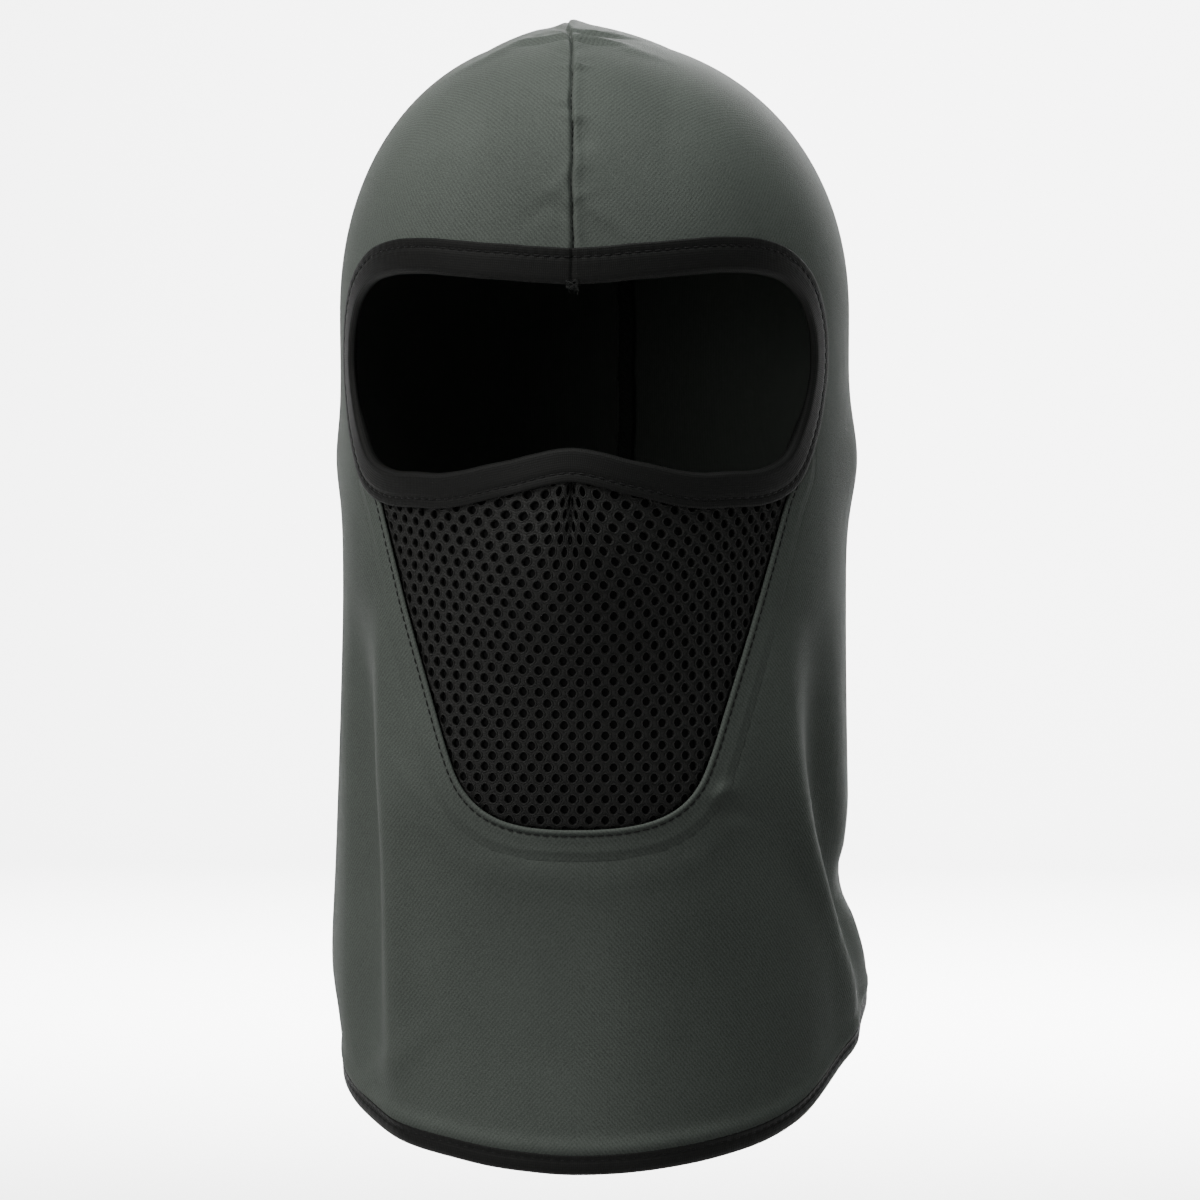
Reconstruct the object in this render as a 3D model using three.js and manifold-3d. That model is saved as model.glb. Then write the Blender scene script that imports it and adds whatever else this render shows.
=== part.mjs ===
// A full-face balaclava of thin stretch knit, in the shape it takes when it is worn.
//
// One piece of knit fabric is folded at the front and closed by a single seam that runs from the forehead,
// over the crown and down the back to the hem. A panel of spacer mesh with a knit backing is set in over the
// nose and mouth. Elastic tape binds the face opening, and a narrower tape binds the curved hem.
//
// Frame: millimetres, +Z up, the face looks along -Y and the wearer's left is +X. The origin is the centre of
// the wearer's head, midway between the ears.
import * as THREE from "three";
import { ParametricGeometry } from "three/addons/geometries/ParametricGeometry.js";
import { mergeVertices } from "three/addons/utils/BufferGeometryUtils.js";
import Module from "manifold-3d";

const wasm = await Module();
wasm.setup();

// ---- Driving dimensions ----

// The head at its widest level, measured to the outside of the fabric.
const HEAD_HALF_WIDTH = 75.8;
const HEAD_FRONT = 95;
const HEAD_BACK = 100;
const WIDEST_HEIGHT = 50;
const CROWN_RISE = 83.2;

// How round the crown is in each direction: 2 is an ellipse and more is squarer.
const CROWN_ROUNDNESS = { side: 2.15, front: 2.4, back: 2.25 };
const SECTION_ROUNDNESS = { front: 2.3, back: 2.15 };

// Below the widest level, how far the fabric stands out from the head's size there, by height.
const SIDE_BY_HEIGHT = [[-205, -3], [-170, 0], [-145, 1.2], [-110, 0.2], [-60, -0.7], [-20, -0.8], [20, -0.4], [50, 0]];
const FRONT_BY_HEIGHT = [[-205, -9], [-150, -8], [-110, -3.5], [-85, 0], [-50, -1], [-10, -1.5], [20, -0.5], [50, 0]];
const BACK_BY_HEIGHT = [[-205, -11], [-150, -15], [-100, -21], [-60, -17], [-20, -7], [20, -0.5], [50, 0]];

// The bottom edge's height by the angle from the front, in degrees: a bib in front, another behind.
const HEM_BY_ANGLE = [[0, -196.5], [30, -191], [50, -182.5], [70, -168], [90, -157], [110, -152], [130, -157],
  [155, -170], [180, -176]];

// Bulges over the nose and the ears: height of the bulge, where it is and how far it spreads.
const NOSE = { out: 11, angle: 0, height: -22, angleSpread: 11, heightSpread: 22 };
const EAR = { out: 3, angle: 94, height: 7, angleSpread: 13, heightSpread: 11 };

// The seam makes the two sides of the fabric meet in a low ridge, highest on the crown.
const RIDGE_HEIGHT = 3.8;
const RIDGE_HALF_WIDTH = 27;
const RIDGE_SHARE_BEHIND = 0.4;

// The flat pattern: distance along the fabric from the front centre, for one radian round the head.
const PATTERN_RADIUS = 83;

// The face opening's finished edge on the flat pattern, from the top centre to the bottom centre.
const OPENING_HALF = [[0, 57.4], [21.5, 59.2], [44, 61.2], [60, 59.4], [71, 53.2], [77, 44], [78.5, 35], [76, 25],
  [70.5, 14], [64, 6], [54, 2], [43, 1.2], [31, 1], [16, 4.2], [0, 8]];

// The mouth panel on the flat pattern: a tapering panel with round lower corners.
const MOUTH_TOP_HALF_WIDTH = 67;
const MOUTH_TOP_HEIGHT = 8;
const MOUTH_LOW_HALF_WIDTH = 33.5;
const MOUTH_LOW_HEIGHT = -80;
const MOUTH_SIDE_HOLLOW = 2;
const MOUTH_BOTTOM_HEIGHT = -98.8;
const MOUTH_CORNER_REACH = 19;

// Fabric thicknesses, the gap kept between plies, and the wider one left inside a folded tape.
const SHELL_THICKNESS = 0.8;
const MESH_THICKNESS = 1.6;
const BACKING_THICKNESS = 0.6;
const TAPE_THICKNESS = 0.7;
const PLY_GAP = 0.35;
const TAPE_GAP = 0.6;

// Tapes, seams and threads.
const FACE_TAPE_WIDTH = 8.4;
const HEM_TAPE_WIDTH = 4;
const TAPE_FOLD_ROOM = 1.8;
const SEAM_ALLOWANCE = 6;
const OVERLOCK_WIDTH = 5;
const OVERLOCK_THICKNESS = 1.1;
const THREAD_RADIUS = 0.3;
const TAPE_STITCH_INSET = 2.6;
const PANEL_STITCH_SETBACK = 2.3;
const DART_LENGTH = 20;
const KNOT_RADIUS = 1.6;
const TAIL_LENGTH = 4;

// How finely the surfaces are divided.
const COLUMNS = 56;
const ROWS = 28;
const PANEL_COLUMNS = 20;
const PANEL_ROWS = 16;
const LOOP_STEPS = 60;
const THREAD_SIDES = 5;
const FRONT_DENSITY = 0.25;
const CROWN_ROW_SHARE = 0.36;

// ---- Layers, as distances out from the fabric's outer face ----

const SHELL_INSIDE = -SHELL_THICKNESS;
const MESH_OUTSIDE = SHELL_INSIDE - PLY_GAP;
const MESH_INSIDE = MESH_OUTSIDE - MESH_THICKNESS;
const BACKING_OUTSIDE = MESH_INSIDE - PLY_GAP;
const BACKING_INSIDE = BACKING_OUTSIDE - BACKING_THICKNESS;
const THREAD_CLEAR = PLY_GAP + THREAD_RADIUS;

// ---- Small helpers ----

const radians = THREE.MathUtils.degToRad;
const { lerp, smoothstep } = THREE.MathUtils;

// A smooth curve through [position, value] pairs in rising order, level beyond its ends.
function along(pairs, at) {
  if (at <= pairs[0][0]) return pairs[0][1];
  if (at >= pairs.at(-1)[0]) return pairs.at(-1)[1];
  const i = pairs.findIndex(([position]) => position > at);
  const slopeAt = (k) => {
    if (k === 0 || k === pairs.length - 1) return 0;
    return (pairs[k + 1][1] - pairs[k - 1][1]) / (pairs[k + 1][0] - pairs[k - 1][0]);
  };
  const [x0, y0] = pairs[i - 1];
  const [x1, y1] = pairs[i];
  const span = x1 - x0;
  const t = (at - x0) / span;
  const rise = t * t * (3 - 2 * t);
  const early = t * (1 - t) * (1 - t) * span * slopeAt(i - 1);
  const late = t * t * (t - 1) * span * slopeAt(i);
  return lerp(y0, y1, rise) + early + late;
}

// A smooth bump of height 1 at its centre, for both sides of the head.
function bulge(shape, angle, height) {
  const a = (Math.abs(THREE.MathUtils.radToDeg(angle)) - shape.angle) / shape.angleSpread;
  const h = (height - shape.height) / shape.heightSpread;
  return shape.out * Math.exp(-0.5 * (a * a + h * h));
}

// A closed solid, facing outwards, from a geometry whose faces join up once its equal points are merged.
function solidFrom(geometry) {
  geometry.deleteAttribute("normal");
  geometry.deleteAttribute("uv");
  const merged = mergeVertices(geometry, 1e-4);
  const corners = merged.index.array;
  const kept = [];
  for (let i = 0; i < corners.length; i += 3) {
    const [a, b, c] = [corners[i], corners[i + 1], corners[i + 2]];
    if (a !== b && b !== c && c !== a) kept.push(a, b, c);
  }
  const vertProperties = new Float32Array(merged.attributes.position.array);
  const solidOf = (faces) => {
    return new wasm.Manifold(new wasm.Mesh({ numProp: 3, vertProperties, triVerts: new Uint32Array(faces) }));
  };
  const solid = solidOf(kept);
  return solid.volume() > 0 ? solid : solidOf(kept.reverse());
}

function geometryFrom(solid) {
  const { numVert, numProp, vertProperties, triVerts } = solid.getMesh();
  const points = new Float32Array(numVert * 3);
  for (let i = 0; i < numVert; i += 1) {
    points.set(vertProperties.subarray(i * numProp, i * numProp + 3), i * 3);
  }
  const geometry = new THREE.BufferGeometry();
  geometry.setAttribute("position", new THREE.BufferAttribute(points, 3));
  geometry.setIndex(new THREE.BufferAttribute(new Uint32Array(triVerts), 1));
  return geometry;
}

// ---- The worn shape: a point of the fabric for an angle round the head and a height ----

function hemHeight(angle) {
  return along(HEM_BY_ANGLE, Math.abs(THREE.MathUtils.radToDeg(angle)));
}

// The share of the widest size that is left at a height above the widest level.
function crownShare(height, roundness) {
  if (height <= WIDEST_HEIGHT) return 1;
  const rise = Math.min(1, (height - WIDEST_HEIGHT) / CROWN_RISE);
  return (1 - rise ** roundness) ** (1 / roundness);
}

function sectionReach(angle, height) {
  const side = (HEAD_HALF_WIDTH + along(SIDE_BY_HEIGHT, height)) * crownShare(height, CROWN_ROUNDNESS.side);
  const isFront = Math.cos(angle) > 0;
  const front = (HEAD_FRONT + along(FRONT_BY_HEIGHT, height)) * crownShare(height, CROWN_ROUNDNESS.front);
  const back = (HEAD_BACK + along(BACK_BY_HEIGHT, height)) * crownShare(height, CROWN_ROUNDNESS.back);
  const depth = isFront ? front : back;
  const power = isFront ? SECTION_ROUNDNESS.front : SECTION_ROUNDNESS.back;
  const acrossShare = Math.abs(Math.sin(angle) / side) ** power;
  const deepShare = Math.abs(Math.cos(angle) / depth) ** power;
  return (acrossShare + deepShare) ** (-1 / power) + bulge(NOSE, angle, height) + bulge(EAR, angle, height);
}

function ridge(point, angle) {
  const upTheCrown = smoothstep(point.z, WIDEST_HEIGHT + 5, WIDEST_HEIGHT + 0.85 * CROWN_RISE);
  const least = Math.cos(angle) > 0 ? 0 : RIDGE_SHARE_BEHIND;
  const near = Math.max(0, 1 - Math.abs(point.x) / RIDGE_HALF_WIDTH);
  return RIDGE_HEIGHT * lerp(least, 1, upTheCrown) * near;
}

// Rows run from 0 at the top of the crown to 1 at the hem.
function heightOf(angle, row) {
  if (row < CROWN_ROW_SHARE) {
    const turn = (row / CROWN_ROW_SHARE) * (Math.PI / 2);
    return WIDEST_HEIGHT + CROWN_RISE * Math.cos(turn) ** (2 / CROWN_ROUNDNESS.side);
  }
  const down = (row - CROWN_ROW_SHARE) / (1 - CROWN_ROW_SHARE);
  return lerp(WIDEST_HEIGHT, hemHeight(angle), down);
}

function rowOf(angle, height) {
  if (height > WIDEST_HEIGHT) {
    const rise = Math.min(1, (height - WIDEST_HEIGHT) / CROWN_RISE);
    return (Math.acos(rise ** (CROWN_ROUNDNESS.side / 2)) / (Math.PI / 2)) * CROWN_ROW_SHARE;
  }
  const down = (WIDEST_HEIGHT - height) / (WIDEST_HEIGHT - hemHeight(angle));
  return CROWN_ROW_SHARE + down * (1 - CROWN_ROW_SHARE);
}

function fabricPoint(angle, row) {
  const height = heightOf(angle, row);
  const reach = row > 0 ? sectionReach(angle, height) : 0;
  const point = new THREE.Vector3(reach * Math.sin(angle), -reach * Math.cos(angle), height);
  const outward = point.clone();
  outward.z -= Math.min(height, WIDEST_HEIGHT);
  return point.addScaledVector(outward.normalize(), ridge(point, angle));
}

function fabricNormal(angle, row) {
  const step = 2e-3;
  if (row < 2 * step) return new THREE.Vector3(0, 0, 1);
  const round = fabricPoint(angle + step, row).sub(fabricPoint(angle - step, row));
  const down = fabricPoint(angle, row + step).sub(fabricPoint(angle, row - step));
  return down.cross(round).normalize();
}

// A point a distance out from the fabric's outer face; the distance is negative inside.
function layerPoint(angle, row, out) {
  return fabricPoint(angle, row).addScaledVector(fabricNormal(angle, row), out);
}

// ---- Outlines on the fabric, as lists of {angle, row} ----

function onFabric(across, height) {
  const angle = across / PATTERN_RADIUS;
  return { angle, row: rowOf(angle, height) };
}

function placeOf(point) {
  const angle = Math.atan2(point.x, -point.y);
  return { angle, row: rowOf(angle, point.z) };
}

// A closed loop of equal steps on the flat pattern from the points of its right half.
function mirroredLoop(half, steps) {
  const right = half.map(([across, height]) => new THREE.Vector3(across, height, 0));
  const left = half.slice(1, -1).reverse().map(([across, height]) => new THREE.Vector3(-across, height, 0));
  const curve = new THREE.CatmullRomCurve3([...right, ...left], true, "centripetal");
  return curve.getSpacedPoints(steps).slice(0, steps).map((p) => onFabric(p.x, p.y));
}

function mouthHalf() {
  const side = new THREE.QuadraticBezierCurve3(
    new THREE.Vector3(MOUTH_TOP_HALF_WIDTH, MOUTH_TOP_HEIGHT, 0),
    new THREE.Vector3(
      lerp(MOUTH_TOP_HALF_WIDTH, MOUTH_LOW_HALF_WIDTH, 0.5) - MOUTH_SIDE_HOLLOW,
      lerp(MOUTH_TOP_HEIGHT, MOUTH_LOW_HEIGHT, 0.5),
      0,
    ),
    new THREE.Vector3(MOUTH_LOW_HALF_WIDTH, MOUTH_LOW_HEIGHT, 0),
  );
  const lean = side.getTangent(1);
  const corner = new THREE.CubicBezierCurve3(
    side.getPoint(1),
    side.getPoint(1).addScaledVector(lean, MOUTH_CORNER_REACH),
    new THREE.Vector3(MOUTH_CORNER_REACH, MOUTH_BOTTOM_HEIGHT, 0),
    new THREE.Vector3(0, MOUTH_BOTTOM_HEIGHT, 0),
  );
  const top = [[0, MOUTH_TOP_HEIGHT + 12]];
  const down = [...side.getPoints(6), ...corner.getPoints(7).slice(1)].map((p) => [p.x, p.y]);
  return [...top, ...down];
}

// The unit directions at a step of a loop: along it, straight out of the fabric, and away from its middle.
function directionsAt(loop, i) {
  const at = (k) => {
    const { angle, row } = loop[(k + loop.length) % loop.length];
    return fabricPoint(angle, row);
  };
  const onward = at(i + 1).sub(at(i - 1)).normalize();
  const out = fabricNormal(loop[i].angle, loop[i].row);
  const aside = new THREE.Vector3().crossVectors(out, onward).normalize();
  return { onward, out, aside };
}

// The loop moved a distance away from its middle, along the fabric.
function widened(loop, distance) {
  return loop.map(({ angle, row }, i) => {
    const { aside } = directionsAt(loop, i);
    return placeOf(fabricPoint(angle, row).addScaledVector(aside, distance));
  });
}

const OPENING = mirroredLoop(OPENING_HALF, LOOP_STEPS);
const MOUTH = mirroredLoop(mouthHalf(), LOOP_STEPS);

// ---- Cutting tools: a plug that passes square through the fabric with a loop as its outline ----

function plugThrough(loop) {
  const reach = 3 * Math.abs(BACKING_INSIDE);
  const middleRow = loop.reduce((sum, place) => sum + place.row, 0) / loop.length;
  const tips = [-HEAD_FRONT / 2, HEAD_FRONT].map((out) => layerPoint(0, middleRow, out));
  const places = [...loop, loop[0]];
  const point = (u, v, target) => {
    const { angle, row } = places[Math.round(u * loop.length)];
    const k = Math.round(v * 3);
    const ends = [tips[0], layerPoint(angle, row, -reach), layerPoint(angle, row, reach), tips[1]];
    target.copy(ends[k]);
  };
  return solidFrom(new ParametricGeometry(point, loop.length, 3));
}

// ---- The fabric pieces ----

// Angles run from the back seam round by the front, closer together in front.
function columnAngle(u) {
  const turn = 2 * u - 1;
  return Math.PI * ((1 - FRONT_DENSITY) * turn + FRONT_DENSITY * turn ** 3);
}

function shell() {
  const stacks = 2 * ROWS + 1;
  const point = (u, v, target) => {
    const k = Math.round(v * stacks);
    const outside = k <= ROWS;
    const row = outside ? k / ROWS : (stacks - k) / ROWS;
    const whole = layerPoint(columnAngle(u), row, outside ? 0 : SHELL_INSIDE);
    if (u === 0 || u === 1) whole.x = 0;
    target.copy(whole);
  };
  const hood = solidFrom(new ParametricGeometry(point, COLUMNS, stacks));
  const cut = plugThrough(widened(OPENING, TAPE_FOLD_ROOM)).add(plugThrough(MOUTH));
  return hood.subtract(cut);
}

// A patch of a layer that covers the mouth panel, before it is cut to the panel's outline.
function mouthLayer(outside, inside) {
  const widest = (MOUTH_TOP_HALF_WIDTH + 4 * SEAM_ALLOWANCE) / PATTERN_RADIUS;
  const top = MOUTH_TOP_HEIGHT + SEAM_ALLOWANCE;
  const bottom = MOUTH_BOTTOM_HEIGHT - 2 * SEAM_ALLOWANCE;
  const stacks = 2 * PANEL_ROWS + 2;
  const point = (u, v, target) => {
    const k = Math.round(v * stacks) % stacks;
    const isOuter = k <= PANEL_ROWS;
    const down = isOuter ? k / PANEL_ROWS : (stacks - 1 - k) / PANEL_ROWS;
    const isEnd = u === 0 || u === 1;
    const angle = lerp(-widest, widest, THREE.MathUtils.clamp(u, 0, 1));
    const row = rowOf(angle, lerp(top, bottom, down));
    const depth = isOuter ? outside : inside;
    target.copy(layerPoint(angle, row, isEnd ? (outside + inside) / 2 : depth));
  };
  return solidFrom(new ParametricGeometry(point, PANEL_COLUMNS, stacks));
}

// A ply of the mouth panel: it runs behind the shell by the seam allowance and ends inside the tape's fold.
function mouthPly(outside, inside) {
  const cover = plugThrough(widened(MOUTH, SEAM_ALLOWANCE));
  const opening = plugThrough(widened(OPENING, TAPE_FOLD_ROOM));
  return mouthLayer(outside, inside).intersect(cover).subtract(opening);
}

// ---- Tapes: a folded strip whose two plies hold an edge between them ----

// The points of a folded tape's section as [distance from the fold, distance out], round the section.
function tapeSection(width, depthInside) {
  const outerFace = TAPE_GAP + TAPE_THICKNESS;
  const innerFace = depthInside - outerFace;
  const bend = TAPE_THICKNESS;
  return [
    [width, outerFace],
    [0.15 * width, outerFace],
    [0, 0.4 * outerFace],
    [0, innerFace + 0.4 * TAPE_THICKNESS],
    [0.15 * width, innerFace],
    [width, innerFace],
    [width, innerFace + TAPE_THICKNESS],
    [bend, innerFace + TAPE_THICKNESS],
    [bend, TAPE_GAP],
    [width, TAPE_GAP],
  ];
}

// How far inside the fabric's outer face the bound edge reaches: one ply, or three where the mouth panel is.
function boundDepth({ angle, row }) {
  const across = Math.abs(angle) * PATTERN_RADIUS;
  const height = heightOf(angle, row);
  const middle = (OPENING_HALF[0][1] + OPENING_HALF.at(-1)[1]) / 2;
  const isLow = 1 - smoothstep(height, 0.6 * middle, middle);
  const panelEnd = MOUTH_TOP_HALF_WIDTH + 1.5 * SEAM_ALLOWANCE;
  const isNear = 1 - smoothstep(across, panelEnd, panelEnd + SEAM_ALLOWANCE);
  return lerp(SHELL_INSIDE, BACKING_INSIDE, isLow * isNear);
}

function sweptLoop(loop, sectionAt, sides) {
  const rings = loop.map((place, i) => {
    const { aside } = directionsAt(loop, i);
    const start = fabricPoint(place.angle, place.row);
    return sectionAt(place, i).map(([away, out]) => {
      const spot = placeOf(start.clone().addScaledVector(aside, away));
      return layerPoint(spot.angle, spot.row, out);
    });
  });
  const point = (u, v, target) => {
    const ring = rings[Math.round(u * loop.length) % loop.length];
    target.copy(ring[Math.round(v * sides) % sides]);
  };
  return solidFrom(new ParametricGeometry(point, loop.length, sides));
}

function faceTape() {
  return sweptLoop(OPENING, (place) => tapeSection(FACE_TAPE_WIDTH, boundDepth(place)), 10);
}

// The hem runs the other way round from the opening, so that its tape lies above the edge.
function hemLoop(lift) {
  return Array.from({ length: LOOP_STEPS }, (_, i) => {
    const angle = columnAngle(i / LOOP_STEPS);
    return { angle, row: rowOf(angle, hemHeight(angle) + lift) };
  });
}

// The hem tape's fold lies just below the fabric's edge, so its points go past the last row.
function hemTape() {
  const section = tapeSection(HEM_TAPE_WIDTH, SHELL_INSIDE);
  const rings = hemLoop(0).map(({ angle }) => section.map(([away, out]) => {
    const row = rowOf(angle, hemHeight(angle) - TAPE_FOLD_ROOM + away);
    return layerPoint(angle, row, out);
  }));
  const point = (u, v, target) => {
    const ring = rings[Math.round(u * LOOP_STEPS) % LOOP_STEPS];
    target.copy(ring[Math.round(v * section.length) % section.length]);
  };
  return solidFrom(new ParametricGeometry(point, LOOP_STEPS, section.length));
}

// ---- Threads: round tubes along a path on the fabric ----

function threadAlong(places, heightOut, closed, radius = THREAD_RADIUS, flatness = 1) {
  const centres = places.map((place, i) => layerPoint(place.angle, place.row, heightOut(i)));
  const last = centres.length - 1;
  const ringAt = (i, k) => {
    const before = centres[closed ? (i + last) % (last + 1) : Math.max(0, i - 1)];
    const after = centres[closed ? (i + 1) % (last + 1) : Math.min(last, i + 1)];
    const onward = after.clone().sub(before).normalize();
    const out = fabricNormal(places[i].angle, places[i].row);
    const aside = new THREE.Vector3().crossVectors(out, onward).normalize();
    const turn = (2 * Math.PI * (k + 0.5)) / THREAD_SIDES;
    return centres[i].clone()
      .addScaledVector(aside, radius * Math.cos(turn))
      .addScaledVector(out, radius * flatness * Math.sin(turn));
  };
  const stops = closed ? centres.length : centres.length + 2;
  const point = (u, v, target) => {
    const k = Math.round(v * THREAD_SIDES) % THREAD_SIDES;
    const stop = Math.round(u * (closed ? stops : stops - 1));
    if (closed) {
      target.copy(ringAt(stop % stops, k));
      return;
    }
    const isCap = stop === 0 || stop === stops - 1;
    const i = THREE.MathUtils.clamp(stop - 1, 0, last);
    target.copy(isCap ? centres[i] : ringAt(i, k));
  };
  return solidFrom(new ParametricGeometry(point, closed ? stops : stops - 1, THREAD_SIDES));
}

const TAPE_OUTSIDE = TAPE_GAP + TAPE_THICKNESS;
const overTape = () => TAPE_OUTSIDE + THREAD_CLEAR;
const underTape = (i) => boundDepth(OPENING[i]) - TAPE_OUTSIDE - THREAD_CLEAR;
const underHemTape = () => SHELL_INSIDE - TAPE_OUTSIDE - THREAD_CLEAR;

// The part of a loop round the mouth that is clear of the face tape, in order from one end to the other.
function clearOfTape(loop, room) {
  const edge = OPENING.map(({ angle, row }) => fabricPoint(angle, row));
  const isClear = loop.map(({ angle, row }) => {
    const at = fabricPoint(angle, row);
    return Math.min(...edge.map((p) => p.distanceTo(at))) > FACE_TAPE_WIDTH + room && at.z < OPENING_HALF.at(-1)[1];
  });
  const start = isClear.findIndex((clear, i) => clear && !isClear[(i + loop.length - 1) % loop.length]);
  const turned = [...loop.slice(start), ...loop.slice(0, start)];
  const kept = [...isClear.slice(start), ...isClear.slice(0, start)];
  return turned.filter((_, i) => kept[i]);
}

// Places from the opening's top edge over the crown and down the back, a distance short of each end.
function seamPath(frontGap, backGap, steps) {
  const front = rowOf(0, OPENING_HALF[0][1] + frontGap);
  const back = rowOf(Math.PI, hemHeight(Math.PI) + backGap);
  return Array.from({ length: steps + 1 }, (_, i) => {
    const travelled = lerp(-front, back, i / steps);
    return { angle: travelled < 0 ? 0 : Math.PI, row: Math.abs(travelled) };
  });
}

// A flat ribbon inside the seam, or a thread on it. Both keep their width across the head.
function seamStrip(path, halfWidth, outer, inner) {
  const sides = [[-1, outer], [1, outer], [1, inner], [-1, inner]];
  const last = path.length - 1;
  const point = (u, v, target) => {
    const stop = Math.round(u * (last + 2));
    const i = THREE.MathUtils.clamp(stop - 1, 0, last);
    const [side, out] = sides[Math.round(v * 4) % 4];
    const isCap = stop === 0 || stop === last + 2;
    const middle = (outer + inner) / 2;
    target.copy(layerPoint(path[i].angle, path[i].row, isCap ? middle : out));
    target.x = isCap ? 0 : side * halfWidth;
  };
  return solidFrom(new ParametricGeometry(point, last + 2, 4));
}

function crownThread() {
  const path = seamPath(FACE_TAPE_WIDTH + 1, HEM_TAPE_WIDTH + 1, 44);
  return seamStrip(path, THREAD_RADIUS, PLY_GAP + 2 * THREAD_RADIUS, PLY_GAP);
}

function crownOverlock() {
  const outer = SHELL_INSIDE - TAPE_OUTSIDE - 2 * THREAD_CLEAR - PLY_GAP;
  const path = seamPath(TAPE_FOLD_ROOM, 1, 44);
  return seamStrip(path, OVERLOCK_WIDTH / 2, outer, outer - OVERLOCK_THICKNESS);
}

function mouthOverlock() {
  const loop = widened(MOUTH, SEAM_ALLOWANCE / 2);
  const height = () => BACKING_INSIDE - PLY_GAP - OVERLOCK_THICKNESS / 2;
  const flatness = OVERLOCK_THICKNESS / OVERLOCK_WIDTH;
  return threadAlong(clearOfTape(loop, OVERLOCK_WIDTH), height, false, OVERLOCK_WIDTH / 2, flatness);
}

function mouthTopstitch() {
  const loop = widened(MOUTH, PANEL_STITCH_SETBACK);
  return threadAlong(clearOfTape(loop, 4 * THREAD_RADIUS), () => THREAD_CLEAR, false);
}

function tapeStitchLoop() {
  return widened(OPENING, FACE_TAPE_WIDTH - TAPE_STITCH_INSET);
}

function dartThread() {
  const top = OPENING_HALF.at(-1)[1] - FACE_TAPE_WIDTH - 1;
  const steps = 8;
  const places = Array.from({ length: steps + 1 }, (_, i) => onFabric(0, top - (DART_LENGTH * i) / steps));
  return threadAlong(places, () => MESH_OUTSIDE + THREAD_CLEAR, false);
}

// The knotted ends of the seam thread, which hang just below the tape at the forehead.
function threadTail() {
  const neck = THREAD_RADIUS * 1.5;
  const outline = [
    new THREE.Vector2(0, -TAIL_LENGTH),
    new THREE.Vector2(neck, 0.6 - TAIL_LENGTH),
    new THREE.Vector2(0.8 * KNOT_RADIUS, -1.1 * KNOT_RADIUS),
    new THREE.Vector2(KNOT_RADIUS, -0.6 * KNOT_RADIUS),
    new THREE.Vector2(0.7 * KNOT_RADIUS, -0.15 * KNOT_RADIUS),
    new THREE.Vector2(0, 0),
  ];
  const tail = new THREE.LatheGeometry(outline, 10);
  tail.rotateX(Math.PI / 2);
  return solidFrom(tail);
}

// ---- Materials and assembly ----

function cloth(colour, roughness) {
  return new THREE.MeshStandardMaterial({ color: new THREE.Color(...colour), roughness, metalness: 0 });
}

const GREY_KNIT = cloth([0.13, 0.135, 0.13], 0.6);
const BLACK_MESH = cloth([0.012, 0.012, 0.012], 0.75);
const BLACK_BACKING = cloth([0.006, 0.006, 0.006], 0.9);
const BLACK_TAPE = cloth([0.014, 0.014, 0.013], 0.7);
const BLACK_THREAD = cloth([0.01, 0.01, 0.01], 0.6);
const GREY_THREAD = cloth([0.08, 0.085, 0.08], 0.6);

const balaclava = new THREE.Group();

function place(name, solid, material) {
  const mesh = new THREE.Mesh(geometryFrom(solid), material);
  mesh.name = name;
  balaclava.add(mesh);
  return mesh;
}

place("shell", shell(), GREY_KNIT);
place("mouth_mesh", mouthPly(MESH_OUTSIDE, MESH_INSIDE), BLACK_MESH);
place("mouth_backing", mouthPly(BACKING_OUTSIDE, BACKING_INSIDE), BLACK_BACKING);
place("face_binding", faceTape(), BLACK_TAPE);
place("hem_binding", hemTape(), BLACK_TAPE);
place("crown_seam_thread", crownThread(), GREY_THREAD);
place("crown_seam_overlock", crownOverlock(), GREY_THREAD);
place("mouth_topstitch", mouthTopstitch(), GREY_THREAD);
place("mouth_seam_overlock", mouthOverlock(), GREY_THREAD);
place("face_binding_stitch", threadAlong(tapeStitchLoop(), overTape, true), BLACK_THREAD);
place("face_binding_looper", threadAlong(tapeStitchLoop(), underTape, true), BLACK_THREAD);
const hemStitch = hemLoop(HEM_TAPE_WIDTH - TAPE_STITCH_INSET);
place("hem_binding_stitch", threadAlong(hemStitch, overTape, true), BLACK_THREAD);
place("hem_binding_looper", threadAlong(hemStitch, underHemTape, true), BLACK_THREAD);
place("nose_dart_thread", dartThread(), BLACK_THREAD);
const tail = place("forehead_thread_tail", threadTail(), BLACK_THREAD);
const tailPlace = onFabric(0, OPENING_HALF[0][1]);
tail.position.copy(fabricPoint(tailPlace.angle, tailPlace.row));
tail.position.z -= PLY_GAP;

export default balaclava;
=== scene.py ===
"""A thin stretch-knit balaclava in the shape that it takes when it is worn, with seams, tapes and stitches.

Metres, +Z up, the face looks along -Y and the wearer's left is +X, as in the CAD frame. Most pieces lie on
one surface, the worn cloth. A point on it is given by its angle round the head and its row, crown to hem.
"""

import math

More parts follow.
